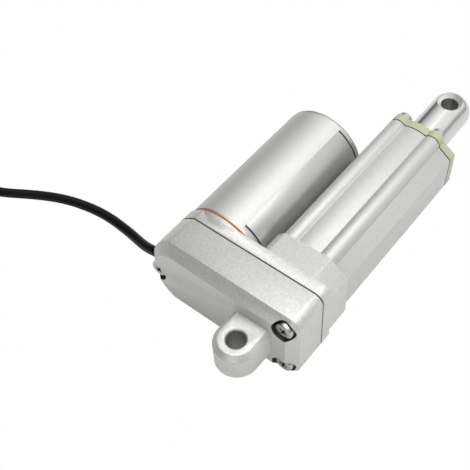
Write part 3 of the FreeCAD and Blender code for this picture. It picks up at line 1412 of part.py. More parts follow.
for item in doc.Objects:
    if "Invalid" in item.State or "Error" in item.State:
        raise RuntimeError("feature failed: " + item.Name)
for piece in nodes:
    shape = piece.Shape
    if shape.isNull() or not shape.isValid():
        raise RuntimeError("shape failed: " + piece.Label)
    shape.exportStep("parts/" + piece.Label + ".step")
    box = shape.BoundBox
    print("%-22s %9.1f mm3  x %.1f..%.1f  y %.1f..%.1f  z %.1f..%.1f" % (
        piece.Label, shape.Volume, box.XMin, box.XMax, box.YMin, box.YMax, box.ZMin, box.ZMax))
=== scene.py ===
import json
import math

import bmesh
import bpy
from mathutils import Matrix, Vector


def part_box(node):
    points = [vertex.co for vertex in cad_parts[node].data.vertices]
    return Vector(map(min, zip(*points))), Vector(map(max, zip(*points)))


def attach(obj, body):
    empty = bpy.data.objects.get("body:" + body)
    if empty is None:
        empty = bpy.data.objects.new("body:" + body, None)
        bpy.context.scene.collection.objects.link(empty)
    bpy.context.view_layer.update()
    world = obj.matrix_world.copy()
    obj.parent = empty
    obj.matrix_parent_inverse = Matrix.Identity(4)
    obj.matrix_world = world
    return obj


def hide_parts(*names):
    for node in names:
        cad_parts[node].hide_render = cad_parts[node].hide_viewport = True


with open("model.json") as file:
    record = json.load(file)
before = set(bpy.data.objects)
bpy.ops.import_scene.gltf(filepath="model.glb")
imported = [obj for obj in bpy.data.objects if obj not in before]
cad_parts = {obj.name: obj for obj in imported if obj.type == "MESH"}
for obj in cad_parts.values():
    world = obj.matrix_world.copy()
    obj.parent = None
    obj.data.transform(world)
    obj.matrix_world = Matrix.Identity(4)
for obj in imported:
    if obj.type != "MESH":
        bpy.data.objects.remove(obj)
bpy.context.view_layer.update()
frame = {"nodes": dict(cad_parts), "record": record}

bl_info = {
    "name": "Electric linear actuator",
    "version": (1, 0, 0),
    "blender": (4, 5, 0),
    "location": "View3D > Sidebar > Actuator",
    "description": "Finishes and details of an electric linear actuator on its packed model",
    "category": "Object",
}

MM = 0.001


# Fixed sizes, in metres unless a comment says otherwise


# Meshes: points that merge, triangles that join, and how near to a plane its points are
MERGE_DISTANCE = 0.002 * MM
FLAT_DEGREES = 0.3
PLANE_REACH = 0.01 * MM

# Tests on faces: a bore's wall lies within this share of its radius, an upright wall's normal
# has at most this part along Z, and the normal of a face square to X at least this along X
BORE_MARGIN = 1.01
UPRIGHT = 0.2
SQUARE = 0.9

# Eyes: the radius of both bores, the rod's rounded end, its countersinks of 45 degrees,
# which start at a height above its axis, and its hollow
EYE_BORE = 4.0 * MM
END_ROUND = 7.0 * MM
SINK_BOTTOM = 6.0 * MM
SINK_SLOPE = 1.0
HOLLOW_END = 130 * MM
HOLLOW_RADIUS = 7 * MM

# Motor
FOIL_THICKNESS = 0.15 * MM
# The seams are black bands of painted shade at the can's two joints
SEAM_WIDTH = 0.7 * MM
SEAM_THICKNESS = 0.05 * MM

# Screws: places across and up, heads as radius and thickness, shanks as radius and sides
COVER_SCREW_PLACES = [(-13.7 * MM, 12.2 * MM), (-13.7 * MM, -12.2 * MM), (49.4 * MM, -2.4 * MM)]
COVER_SCREW_TURNS = (0.5, 0.2, 0.6)
COVER_SCREW_HEAD = (3.7 * MM, 2.2 * MM)
COVER_SCREW_SHANK = (2.0 * MM, 24)
CAP_SCREW_PLACES = [
    (right * 8.3 * MM, upper * 12.5 * MM) for right, upper in ((1, 1), (-1, 1), (-1, -1), (1, -1))]
CAP_SCREW_TURNS = (0.3, 0.8, 1.3, 1.8)
CAP_SCREW_HEAD = (3.2 * MM, 2.6 * MM)
CAP_SCREW_SHANK = (1.5 * MM, 20)

# Sunk seats of the cover screws: their radius with a margin, and where along X they end
SEAT_REACH = 4.76 * MM
SEAT_END = 14 * MM

# A screw's cross, as shares of the head's radius
CROSS_BOTTOM = 0.5
CROSS_MOUTH = 0.85
CROSS_DEPTH = 1.1
CROSS_REACH = 0.8
CROSS_WIDTH = 0.28

# Cable, in millimetres: its route, then a coil in two layers round a centre. The middle turn
# has the radius COIL_MIDDLE, and late in each turn, from and over a share of it, the cable
# moves over to the next
ROUTE = [
    (19.2, 46, -7.2), (19.2, 57, -7.2), (20.2, 67.4, -12), (23.9, 80.7, -16.3),
    (25.5, 95.9, -17.8), (24.2, 106.9, -17.8), (21.1, 118.7, -17.8), (15.2, 131.1, -17.8),
    (3.4, 149.6, -17.8), (4.2, 160.2, -17.8), (3.343, 173.798, -17.8),
]
COIL_CENTRE = (-25, 172)
COIL_MIDDLE = 24
COIL_TURNS = 5
COIL_END_DEGREES = 270
POINTS_A_TURN = 24
SHIFT_START = 0.78
SHIFT_LENGTH = 0.12

# Leads, in millimetres: they start inside the cable, bend down and rest on the ground;
# a bend is given as along, aside and up, and a tip as along and aside
GROUND = -20
LEAD_RADIUS = 0.8
LEAD_INSIDE = 1.5
LEAD_ASIDE = 0.85
LEAD_BEND = (8, 0.6, -1.4)
LEAD_TIP = (16, 2.4)
STRAND_RADIUS = 0.5
STRAND_START = 0.2
STRAND_LENGTH = 4
STRAND_DROP = 0.3

# Floor and lights
FLOOR_LEVEL = -20.3 * MM
FLOOR_SIZE = 6
STAGE_MIDDLE = (0.07, 0.02, 0)
KEY_PLACE = (0.2, -0.1, 0.95)
KEY_SIZE = (0.9, 0.9)
FILL_PLACE = (-0.6, -0.2, 0.3)
FILL_SIZE = (0.5, 0.5)

# Surroundings: the direction where they are brightest, and two ramps of position and grey,
# one round that direction and one over the height above the horizon
BRIGHT_SIDE = (0.6, -0.25, 0.76)
SIDE_RAMP = ((0.3, 0.1), (0.85, 1))
HORIZON_STRIP = ((0.0, 1.0), (0.03, 0.45), (0.14, 0.45), (0.28, 1.0))

# Camera, solved from the photograph: place in millimetres, turn as axis times angle
CAMERA_PLACE = (-115.9, -110.2, 279.2)
CAMERA_TURN = (2.254, -1.112, 0.347)
PICTURE_PIXELS = 470
SENSOR_WIDTH = 36


# Sizes and colours that a user may change


class ActuatorSizes(bpy.types.PropertyGroup):
    """Sizes of the details, in metres."""

    casting_edge: bpy.props.FloatProperty(
        name="Casting edge", description="Rounding of the cast and turned edges",
        default=0.35 * MM, unit="LENGTH")
    fine_edge: bpy.props.FloatProperty(
        name="Fine edge", description="Rounding of extruded and moulded edges",
        default=0.18 * MM, unit="LENGTH")
    screw_dome: bpy.props.FloatProperty(
        name="Screw dome", description="Rounding of the screw heads' rims",
        default=0.55 * MM, unit="LENGTH")
    cable_diameter: bpy.props.FloatProperty(
        name="Cable diameter", description="Outside of the cable",
        default=4.4 * MM, unit="LENGTH")
    cable_length: bpy.props.FloatProperty(
        name="Cable length", description="Whole length of the cable",
        default=1.0, unit="LENGTH")


class ActuatorFinishes(bpy.types.PropertyGroup):
    """Colours of the main finishes."""

    cast_silver: bpy.props.FloatVectorProperty(
        name="Cast silver", description="Paint of the gearbox castings", subtype="COLOR", size=3,
        min=0, max=1, default=(0.63, 0.635, 0.605))
    tube_silver: bpy.props.FloatVectorProperty(
        name="Tube silver", description="Anodised tube", subtype="COLOR", size=3,
        min=0, max=1, default=(0.60, 0.605, 0.585))
    foil_silver: bpy.props.FloatVectorProperty(
        name="Foil silver", description="Bare foil round the motor", subtype="COLOR", size=3,
        min=0, max=1, default=(0.59, 0.595, 0.575))
    cap_olive: bpy.props.FloatVectorProperty(
        name="Cap olive", description="Plastic of the front cap", subtype="COLOR", size=3,
        min=0, max=1, default=(0.50, 0.52, 0.34))
    seal_orange: bpy.props.FloatVectorProperty(
        name="Seal orange", description="Seal under the motor", subtype="COLOR", size=3,
        min=0, max=1, default=(0.40, 0.12, 0.03))
    cable_black: bpy.props.FloatVectorProperty(
        name="Cable black", description="Jacket of the cable", subtype="COLOR", size=3,
        min=0, max=1, default=(0.004, 0.004, 0.004))


class ActuatorStage(bpy.types.PropertyGroup):
    """Camera and light."""

    focal_pixels: bpy.props.FloatProperty(
        name="Focal length", description="Focal length in pixels of the picture", default=848.7)
    middle_right: bpy.props.FloatProperty(
        name="Middle, right", description="Optical axis in the picture, from its left edge",
        default=257.4)
    middle_down: bpy.props.FloatProperty(
        name="Middle, down", description="Optical axis in the picture, from its top edge",
        default=226.3)
    key_power: bpy.props.FloatProperty(
        name="Key light", description="Power of the key light", default=5.5, unit="POWER")
    fill_power: bpy.props.FloatProperty(
        name="Fill light", description="Power of the fill light", default=0.9, unit="POWER")
    sky_strength: bpy.props.FloatProperty(
        name="Sky", description="Strength of the white surroundings", default=1.1)


# Small helpers


def deselect():
    """Leave no object selected."""
    bpy.ops.object.select_all(action="DESELECT")


def work_on(piece):
    """Make one object the only selected and the active one."""
    deselect()
    piece.select_set(True)
    bpy.context.view_layer.objects.active = piece


def apply_place(piece):
    """Put an object's place and turn into its mesh."""
    work_on(piece)
    bpy.ops.object.transform_apply(location=True, rotation=True, scale=True)


def smooth(piece, degrees=32):
    """Shade a piece smooth, save for edges sharper than an angle."""
    work_on(piece)
    bpy.ops.object.shade_smooth_by_angle(angle=math.radians(degrees))


def paint(piece, material):
    """Make a material the only one of a piece."""
    piece.data.materials.clear()
    piece.data.materials.append(material)


def join(pieces, label):
    """Join meshes into one piece of that name."""
    deselect()
    for piece in pieces:
        piece.select_set(True)
    bpy.context.view_layer.objects.active = pieces[0]
    bpy.ops.object.join()
    whole = bpy.context.view_layer.objects.active
    whole.name = label
    return whole


def finish_piece(piece, body, slot, *nodes, look=None):
    """Let a piece ride on its body, take its slot and finish, and stand for its nodes."""
    paint(piece, MATERIALS[look or slot])
    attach(piece, body)
    if nodes:
        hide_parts(*nodes)


def apply_modifier(piece, kind, **settings):
    """Give a piece a modifier with these settings and put it into the mesh."""
    work_on(piece)
    modifier = piece.modifiers.new(kind.title(), kind)
    for name, value in settings.items():
        setattr(modifier, name, value)
    bpy.ops.object.modifier_apply(modifier=modifier.name)


def edit_chosen(piece, kind, chosen, change):
    """Select the faces or edges that a test chooses, and let an operation change them."""
    work_on(piece)
    bpy.ops.object.mode_set(mode="EDIT")
    bpy.ops.mesh.select_mode(type=kind)
    bpy.ops.mesh.select_all(action="DESELECT")
    mesh = bmesh.from_edit_mesh(piece.data)
    for element in mesh.faces if kind == "FACE" else mesh.edges:
        element.select = chosen(element)
    bmesh.update_edit_mesh(piece.data)
    change()
    bpy.ops.object.mode_set(mode="OBJECT")


def cut_away(piece, cutter):
    """Cut a piece by another, which goes."""
    count = len(piece.data.polygons)
    whole = join([piece, cutter], piece.name)
    edit_chosen(
        whole, "FACE", lambda face: face.index >= count,
        lambda: bpy.ops.mesh.intersect_boolean(operation="DIFFERENCE", solver="EXACT"))
    return whole


def round_rim(piece, face, width, steps):
    """Round the edges that lie in a plane across X."""
    edit_chosen(
        piece, "EDGE",
        lambda edge: all(abs(vertex.co.x - face) < PLANE_REACH for vertex in edge.verts),
        lambda: bpy.ops.mesh.bevel(offset=width, segments=steps, affect="EDGES"))


def round_edges(piece, width):
    """Round the sharp edges of a piece."""
    apply_modifier(
        piece, "BEVEL", width=width, segments=2, limit_method="ANGLE",
        angle_limit=math.radians(30), use_clamp_overlap=True)


def node_copy(label, node):
    """Copy a node's mesh, merge it and join its flat triangles."""
    piece = bpy.data.objects.new(label, frame["nodes"][node].data.copy())
    bpy.context.scene.collection.objects.link(piece)
    work_on(piece)
    bpy.ops.object.mode_set(mode="EDIT")
    bpy.ops.mesh.select_all(action="SELECT")
    bpy.ops.mesh.remove_doubles(threshold=MERGE_DISTANCE)
    bpy.ops.mesh.dissolve_limited(angle_limit=math.radians(FLAT_DEGREES))
    bpy.ops.object.mode_set(mode="OBJECT")
    return piece


def add_cylinder(start, finish, radius, across, up, sides=48):
    """Add a cylinder along X between two places."""
    deselect()
    bpy.ops.mesh.primitive_cylinder_add(
        vertices=sides, radius=radius, depth=abs(finish - start),
        location=((start + finish) / 2, across, up), rotation=(0, math.pi / 2, 0))
    piece = bpy.context.active_object
    apply_place(piece)
    return piece


def add_upright(middle, bottom, top, low_radius, high_radius):
    """Add a cylinder or cone along Z on the tube's axis."""
    deselect()
    bpy.ops.mesh.primitive_cone_add(
        vertices=96, radius1=low_radius, radius2=high_radius, depth=top - bottom,
        location=(middle, 0, (bottom + top) / 2))
    piece = bpy.context.active_object
    apply_place(piece)
    return piece


# Materials


# Most of a noise lies between these values, and is spread from and to them
NOISE_LOW = 0.3
NOISE_HIGH = 0.7
BUMP_HEIGHT = 0.05 * MM


def new_material(name, colour, metallic, roughness):
    """Start a material and give it, its tree and its shader."""
    material = bpy.data.materials.new(name)
    material.use_nodes = True
    tree = material.node_tree
    shader = tree.nodes["Principled BSDF"]
    shader.inputs["Base Color"].default_value = (*colour, 1)
    shader.inputs["Metallic"].default_value = metallic
    shader.inputs["Roughness"].default_value = roughness
    return material, tree, shader


def add_noise(tree, scale, stretch, detail):
    """Add a noise in the object's own coordinates, stretched along its axes."""
    place = tree.nodes.new("ShaderNodeTexCoord")
    mapping = tree.nodes.new("ShaderNodeMapping")
    mapping.inputs["Scale"].default_value = stretch
    noise = tree.nodes.new("ShaderNodeTexNoise")
    noise.inputs["Scale"].default_value = scale
    noise.inputs["Detail"].default_value = detail
    tree.links.new(place.outputs["Object"], mapping.inputs["Vector"])
    tree.links.new(mapping.outputs["Vector"], noise.inputs["Vector"])
    return noise


def vary_colour(tree, shader, noise, dark, light):
    """Let the base colour drift between two colours."""
    ramp = tree.nodes.new("ShaderNodeValToRGB")
    low, high = ramp.color_ramp.elements
    low.position = NOISE_LOW
    high.position = NOISE_HIGH
    low.color = (*dark, 1)
    high.color = (*light, 1)
    tree.links.new(noise.outputs["Fac"], ramp.inputs["Fac"])
    tree.links.new(ramp.outputs["Color"], shader.inputs["Base Color"])


def vary_roughness(tree, shader, noise, low, high):
    """Let the roughness drift between two values."""
    spread = tree.nodes.new("ShaderNodeMapRange")
    spread.inputs["From Min"].default_value = NOISE_LOW
    spread.inputs["From Max"].default_value = NOISE_HIGH
    spread.inputs["To Min"].default_value = low
    spread.inputs["To Max"].default_value = high
    tree.links.new(noise.outputs["Fac"], spread.inputs["Value"])
    tree.links.new(spread.outputs["Result"], shader.inputs["Roughness"])


def add_bump(tree, shader, noise, strength):
    """Raise the surface by a noise."""
    bump = tree.nodes.new("ShaderNodeBump")
    bump.inputs["Strength"].default_value = strength
    bump.inputs["Distance"].default_value = BUMP_HEIGHT
    tree.links.new(noise.outputs["Fac"], bump.inputs["Height"])
    tree.links.new(bump.outputs["Normal"], shader.inputs["Normal"])


def shade(colour, factor):
    """Give a colour made darker or lighter."""
    return tuple(min(part * factor, 1) for part in colour)


def surface(name, colour, metallic, roughness, grain, stretch=(1, 1, 1), spread=0.06,
            bump=0.15, drift=0.06, patch=17 * MM):
    """Make a finish with a grain in roughness and relief, and with patches of colour.

    grain and patch are sizes; spread, bump and drift say how strongly the roughness, the
    relief and the colour vary.
    """
    material, tree, shader = new_material(name, colour, metallic, roughness)
    fine = add_noise(tree, 1 / grain, stretch, detail=4)
    slow = add_noise(tree, 1 / patch, stretch, detail=2)
    vary_roughness(tree, shader, fine, roughness - spread, roughness + spread)
    vary_colour(tree, shader, slow, shade(colour, 1 - drift), shade(colour, 1 + drift))
    add_bump(tree, shader, fine, bump)
    return material


# For each slot or look: the material's name, its colour or the property that holds it,
# how metallic and how rough it is, its grain in millimetres, and what else differs
FINISHES = {
    "cast_aluminium": (
        "cast_silver_paint", "cast_silver", 0.5, 0.45, 0.6,
        {"spread": 0.1, "bump": 0.9, "drift": 0.09, "patch": 0.8 * MM}),
    "anodised_tube": (
        "anodised_extrusion", "tube_silver", 0.45, 0.5, 0.4,
        {"stretch": (0.3, 1, 1), "bump": 0.2, "drift": 0.04, "patch": 0.7 * MM}),
    "gasket_rubber": ("black_rubber", (0.02, 0.02, 0.02), 0, 0.7, 0.4, {}),
    "screw_steel": ("bright_zinc", (0.52, 0.52, 0.51), 1, 0.28, 0.2, {}),
    "cap_plastic": ("olive_moulding", "cap_olive", 0, 0.42, 0.3, {"drift": 0.04}),
    "guide_plastic": ("white_acetal", (0.72, 0.71, 0.66), 0, 0.35, 0.5, {}),
    "rod_chrome": (
        "chromed_rod", (0.66, 0.66, 0.645), 1, 0.24, 0.6,
        {"stretch": (0.2, 1, 1), "spread": 0.02, "bump": 0.01, "drift": 0.01}),
    # Bore walls: a rougher finish, with a darker colour that is painted shade
    "bore_wall": ("drilled_wall", (0.32, 0.32, 0.3), 0.6, 0.45, 0.3, {"bump": 0.4}),
    # Countersinks of the rod's eye: lighter than the chrome, as painted light
    "countersink_painted_light": ("turned_countersink", (0.8, 0.8, 0.78), 0.6, 0.4, 0.2, {"bump": 0.1}),
    "bearing_steel": (
        "ground_steel", (0.58, 0.58, 0.59), 1, 0.25, 0.12, {"stretch": (1, 0.1, 0.1)}),
    "bronze": ("sintered_bronze", (0.48, 0.28, 0.1), 1, 0.42, 0.2, {"bump": 0.3}),
    "motor_steel": (
        "plated_motor_steel", (0.5, 0.5, 0.49), 0.85, 0.36, 0.3,
        {"drift": 0.07, "patch": 0.7 * MM}),
    "seal_orange": ("orange_seal", "seal_orange", 0, 0.55, 0.3, {}),
    "label_foil": (
        "bare_foil", "foil_silver", 0.5, 0.45, 0.5,
        {"spread": 0.04, "bump": 0.08, "drift": 0.04, "patch": 0.7 * MM}),
    "ferrite": ("ferrite", (0.05, 0.05, 0.05), 0, 0.6, 0.3, {}),
    "core_steel": (
        "laminated_core", (0.2, 0.2, 0.21), 0.8, 0.45, 0.5,
        {"stretch": (1, 0.02, 0.02), "bump": 0.6}),
    "copper": (
        "enamelled_copper", (0.55, 0.2, 0.08), 0.9, 0.3, 0.4,
        {"stretch": (0.04, 1, 1), "bump": 0.6}),
    "carbon": ("carbon_brush", (0.03, 0.03, 0.03), 0.2, 0.5, 0.2, {}),
    "board_green": ("lacquered_board", (0.02, 0.12, 0.05), 0, 0.3, 1.5, {"drift": 0.3}),
    "switch_black": ("black_switch", (0.02, 0.02, 0.02), 0, 0.45, 0.3, {}),
    "cable_black": (
        "cable_jacket", "cable_black", 0, 0.38, 0.4,
        {"spread": 0.08, "bump": 0.1, "drift": 0.2}),
    "lead_insulation": ("red_lead", (0.4, 0.02, 0.015), 0, 0.35, 0.3, {}),
    "second_lead": ("black_lead", (0.02, 0.02, 0.02), 0, 0.35, 0.3, {}),
    # Painted shade for the screw seats and the screws' crosses
    "shadowed_metal": ("shadowed_recess", (0.05, 0.05, 0.05), 0.5, 0.5, 0.2, {}),
    "tinned": ("tinned_strands", (0.6, 0.6, 0.6), 1, 0.3, 0.1, {}),
}
CABLE_GLOSS = 0.2
MATERIALS = {}


def make_materials():
    """Make every finish of the actuator."""
    colours = bpy.context.scene.actuator_finishes
    for slot, (name, colour, metallic, roughness, grain, more) in FINISHES.items():
        if isinstance(colour, str):
            colour = getattr(colours, colour)
        MATERIALS[slot] = surface(name, colour, metallic, roughness, grain * MM, **more)
    cable_shader = MATERIALS["cable_black"].node_tree.nodes["Principled BSDF"]
    cable_shader.inputs["Specular IOR Level"].default_value = CABLE_GLOSS


class ACTUATOR_OT_finishes(bpy.types.Operator):
    """Give every carried-over node the finish of its own slot"""

    bl_idname = "actuator.finishes"
    bl_label = "Finishes"

    def execute(self, context):
        make_materials()
        for part in frame["record"]["subparts"]:
            node = frame["nodes"][part["node"]]
            paint(node, MATERIALS[part["material_slot"]])
        return {"FINISHED"}


def add_look(piece, look, chosen):
    """Give the faces that a test chooses a further finish."""
    piece.data.materials.append(MATERIALS[look])
    number = len(piece.data.materials) - 1
    for face in piece.data.polygons:
        if chosen(face):
            face.material_index = number


def darken_bore(piece, middle):
    """Give the wall of an eye's upright bore its own unpolished finish, darkened as painted shade.
    """

    def in_bore(face):
        reach = math.hypot(face.center.x - middle, face.center.y)
        return reach < EYE_BORE * BORE_MARGIN and abs(face.normal.z) < UPRIGHT

    add_look(piece, "bore_wall", in_bore)


def darken_recesses(piece, places, reach, first, last, steep_only=False):
    """Paint shade onto the faces round the screws' axes, or only the steep ones, with the shadowed
    finish.
    """

    def in_recess(face):
        near = min(math.hypot(face.center.y - across, face.center.z - up) for across, up in places)
        steep = abs(face.normal.x) < SQUARE
        return near < reach and first < face.center.x < last and (steep or not steep_only)

    add_look(piece, "shadowed_metal", in_recess)


# Castings, tube, cap and the motor's outside with their edges rounded


# For each node: the piece, its body, its slot and the size that rounds its edges
ROUNDED = {
    "rear_cover": ("cover_casting", "housing", "cast_aluminium", "casting_edge"),
    "front_housing": ("housing_casting", "housing", "cast_aluminium", "casting_edge"),
    "front_cap": ("cap_moulding", "housing", "cap_plastic", "fine_edge"),
    "outer_tube": ("tube_extrusion", "housing", "anodised_tube", "fine_edge"),
    "motor_front_bell": ("motor_ring", "housing", "motor_steel", "fine_edge"),
    "motor_can": ("motor_tube", "housing", "motor_steel", "fine_edge"),
}


class ACTUATOR_OT_rounded_parts(bpy.types.Operator):
    """Copy the castings, the tube, the cap and the motor's ring and can, and round their edges"""

    bl_idname = "actuator.rounded_parts"
    bl_label = "Rounded parts"

    def execute(self, context):
        sizes = context.scene.actuator_sizes
        for node, (label, body, slot, edge) in ROUNDED.items():
            piece = node_copy(label, node)
            round_edges(piece, getattr(sizes, edge))
            smooth(piece)
            finish_piece(piece, body, slot, node)
            if node == "rear_cover":
                # Painted shade on the wall of the lug's bore
                darken_bore(piece, 0)
                # Painted shade in the sunk seats of the cover screws
                darken_recesses(piece, COVER_SCREW_PLACES, SEAT_REACH, 0, SEAT_END)
        return {"FINISHED"}


# Rod


class ACTUATOR_OT_rod(bpy.types.Operator):
    """Turn the rod, round its end and cut the eye with its countersinks"""

    bl_idname = "actuator.rod"
    bl_label = "Rod"

    def execute(self, context):
        low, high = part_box("piston_rod")
        radius = high[1]
        eye = high[0] - radius
        mouth = EYE_BORE + (radius - SINK_BOTTOM) * SINK_SLOPE
        rod = add_cylinder(low[0], high[0], radius, 0, 0, sides=128)
        rod.name = "rod_with_eye"
        round_rim(rod, high[0], END_ROUND, steps=12)
        for bottom, top, low_radius, high_radius in (
                (-2 * radius, 2 * radius, EYE_BORE, EYE_BORE),
                (SINK_BOTTOM, radius, EYE_BORE, mouth),
                (-radius, -SINK_BOTTOM, mouth, EYE_BORE)):
            rod = cut_away(rod, add_upright(eye, bottom, top, low_radius, high_radius))
        hollow = add_cylinder(low[0] - radius, HOLLOW_END, HOLLOW_RADIUS, 0, 0, sides=96)
        rod = cut_away(rod, hollow)
        smooth(rod, degrees=24)
        finish_piece(rod, "rod", "rod_chrome", "piston_rod")
        darken_bore(rod, eye)

        def on_countersink(face):
            outward = Vector((face.center.x - eye, face.center.y))
            faces_in = Vector(face.normal.xy).dot(outward) < 0
            in_reach = EYE_BORE < outward.length < mouth
            return faces_in and in_reach and abs(face.center.z) > SINK_BOTTOM

        # Painted light: the countersinks get a lighter colour than the chrome
        add_look(rod, "countersink_painted_light", on_countersink)
        return {"FINISHED"}


# Foil and seams of the motor


def add_sleeve(start, finish, outer, thickness, lowest=-1):
    """Wrap a thin open sleeve round the motor, down to a lowest place across."""
    low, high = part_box("motor_label")
    middle = high[1] - (high[2] - low[2]) / 2
    sleeve = add_cylinder(start, finish, outer, middle, (low[2] + high[2]) / 2, sides=360)
    edit_chosen(
        sleeve, "FACE",
        lambda face: abs(face.normal.x) > SQUARE or face.calc_center_median().y < lowest,
        lambda: bpy.ops.mesh.delete(type="FACE"))
    apply_modifier(sleeve, "SOLIDIFY", thickness=thickness, offset=-1)
    smooth(sleeve)
    return sleeve


class ACTUATOR_OT_foil(bpy.types.Operator):
    """Wrap the bare foil round the motor and paint shade as black bands at the motor's two joints
    """

    bl_idname = "actuator.foil"
    bl_label = "Foil"

    def execute(self, context):
        low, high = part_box("motor_label")
        outer = (high[2] - low[2]) / 2
        foil = add_sleeve(low[0], high[0], outer, FOIL_THICKNESS, low[1])
        foil.name = "motor_foil"
        finish_piece(foil, "housing", "label_foil", "motor_label")
        # Black bands at the can's two joints, under the foil's edges: painted shade of the joint
        # gaps
        seams = []
        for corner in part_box("motor_can"):
            seams.append(add_sleeve(
                corner[0] - SEAM_WIDTH / 2, corner[0] + SEAM_WIDTH / 2,
                outer - FOIL_THICKNESS + SEAM_THICKNESS, 2 * SEAM_THICKNESS))
        seam = join(seams, "motor_seams")
        finish_piece(seam, "housing", "gasket_rubber")
        return {"FINISHED"}


# Screws


def make_blade(face, facing, across, up, radius, turn):
    """Model one tapered blade of the cross that a driver fits."""
    deselect()
    bpy.ops.mesh.primitive_cone_add(
        vertices=4, radius1=CROSS_BOTTOM * radius, radius2=CROSS_MOUTH * radius,
        depth=CROSS_DEPTH * radius, rotation=(0, 0, math.pi / 4))
    blade = bpy.context.active_object
    apply_place(blade)
    blade.scale = (CROSS_WIDTH, 1, 1)
    blade.rotation_euler = (0, facing * math.pi / 2, 0)
    apply_place(blade)
    blade.rotation_euler = (turn, 0, 0)
    blade.location = (face, across, up)
    apply_place(blade)
    return blade


def make_head(face, facing, across, up, head, turn):
    """Model one cross-recessed screw head along X."""
    radius, thick = head
    dome = bpy.context.scene.actuator_sizes.screw_dome
    screw = add_cylinder(face, face - facing * thick, radius, across, up)
    round_rim(screw, face, dome, steps=4)
    for quarter in (0, math.pi / 2):
        blade = make_blade(face, facing, across, up, radius, turn + quarter)
        screw = cut_away(screw, blade)
    return screw


def make_screws(node, label, facing, places, turns, head, shank):
    """Model the screws of one node, which face along X, and paint shade into their crosses."""
    low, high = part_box(node)
    face, tip = (high[0], low[0]) if facing > 0 else (low[0], high[0])
    under_head = face - facing * head[1]
    made = []
    for (across, up), turn in zip(places, turns):
        made.append(make_head(face, facing, across, up, head, turn))
        made.append(add_cylinder(under_head, tip, shank[0], across, up, sides=shank[1]))
    piece = join(made, label)
    smooth(piece)
    finish_piece(piece, "housing", "screw_steel", node)
    first, last = sorted((face, under_head))
    # Painted shade in the screws' crosses
    darken_recesses(piece, places, CROSS_REACH * head[0], first, last, steep_only=True)


class ACTUATOR_OT_cover_screws(bpy.types.Operator):
    """Model the three screws of the rear cover"""

    bl_idname = "actuator.cover_screws"
    bl_label = "Cover screws"

    def execute(self, context):
        make_screws(
            "cover_screws", "cover_screw_set", -1, COVER_SCREW_PLACES, COVER_SCREW_TURNS,
            COVER_SCREW_HEAD, COVER_SCREW_SHANK)
        return {"FINISHED"}


class ACTUATOR_OT_cap_screws(bpy.types.Operator):
    """Model the four screws of the front cap"""

    bl_idname = "actuator.cap_screws"
    bl_label = "Cap screws"

    def execute(self, context):
        make_screws(
            "cap_screws", "cap_screw_set", 1, CAP_SCREW_PLACES, CAP_SCREW_TURNS,
            CAP_SCREW_HEAD, CAP_SCREW_SHANK)
        return {"FINISHED"}


# Cable


def coil_points(diameter):
    """Lay three turns side by side, then nearly three more on top of them, back outwards."""
    start = math.atan2(ROUTE[-1][1] - COIL_CENTRE[1], ROUTE[-1][0] - COIL_CENTRE[0])
    step = math.tau / POINTS_A_TURN
    last = math.radians(COIL_END_DEGREES) - start + COIL_TURNS * math.tau
    level = ROUTE[-1][2]
    points = []
    for number in range(1, round(last / step) + 1):
        turned = number * step
        whole, part = divmod(turned / math.tau, 1)
        shift = min(max((part - SHIFT_START) / SHIFT_LENGTH, 0), 1)
        place = whole + shift
        climb = min(max(place - 2, 0), 1)
        # Slots 1, 0 and -1 are the outer, middle and inner turn of a layer. The cable goes
        # inwards in the first two turns, climbs in the third and goes back outwards
        slot = 1 - place if place <= 2 else place - 4 if place > 3 else -1
        radius = COIL_MIDDLE + max(min(slot, 1), -1) * diameter
        # The drawn curve runs a little inside its control points
        radius /= math.cos(step / 2) ** 0.5
        angle = start + turned
        points.append((
            COIL_CENTRE[0] + radius * math.cos(angle),
            COIL_CENTRE[1] + radius * math.sin(angle),
            level + climb * diameter,
        ))
    return points


def draw_curve(label, points, radius):
    """Draw a smooth curve of one spline through its control points, in millimetres."""
    data = bpy.data.curves.new(label, "CURVE")
    data.dimensions = "3D"
    spline = data.splines.new("NURBS")
    spline.points.add(len(points) - 1)
    for point, place in zip(spline.points, points):
        point.co = (*(part * MM for part in place), 1)
    spline.order_u = 3
    spline.use_endpoint_u = True
    data.bevel_depth = radius
    data.bevel_resolution = 5
    data.resolution_u = 6
    data.use_fill_caps = True
    piece = bpy.data.objects.new(label, data)
    bpy.context.scene.collection.objects.link(piece)
    return piece


def make_lead(name, look, end, along, aside):
    """Draw one insulated lead out of the cable's end, and its bare strands."""
    rest = GROUND + LEAD_RADIUS
    start = end - along * LEAD_INSIDE + aside * LEAD_ASIDE
    forward, outward, upward = LEAD_BEND
    middle = start + along * forward + aside * outward + Vector((0, 0, upward))
    forward, outward = LEAD_TIP
    tip = Vector((*(start + along * forward + aside * outward).xy, rest))
    lead = draw_curve("lead_" + name, [start, middle, tip], LEAD_RADIUS * MM)
    finish_piece(lead, "housing", "lead_insulation", look=look)
    onward = (tip - middle).normalized()
    bare = tip + onward * STRAND_START
    ending = Vector((*(tip + onward * STRAND_LENGTH).xy, rest - STRAND_DROP))
    strand = draw_curve("strand_" + name, [tip, bare, ending], STRAND_RADIUS * MM)
    finish_piece(strand, "housing", "lead_insulation", look="tinned")
    return [lead, strand]


class ACTUATOR_OT_cable(bpy.types.Operator):
    """Lay the cable along its route, into its coil, and bare its two leads"""

    bl_idname = "actuator.cable"
    bl_label = "Cable"

    def execute(self, context):
        sizes = context.scene.actuator_sizes
        points = ROUTE + coil_points(sizes.cable_diameter / MM)
        cable = draw_curve("power_cable", points, sizes.cable_diameter / 2)
        finish_piece(cable, "housing", "cable_black", "cable", "cable_coil")
        end = Vector(points[-1])
        along = (end - Vector(points[-2])).normalized()
        aside = along.cross(Vector((0, 0, 1))).normalized()
        leads = make_lead("first", "lead_insulation", end, along, -aside)
        leads += make_lead("second", "second_lead", end, along, aside)
        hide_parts("lead_wires")
        return {"FINISHED"}


# Stage: floor, light and camera


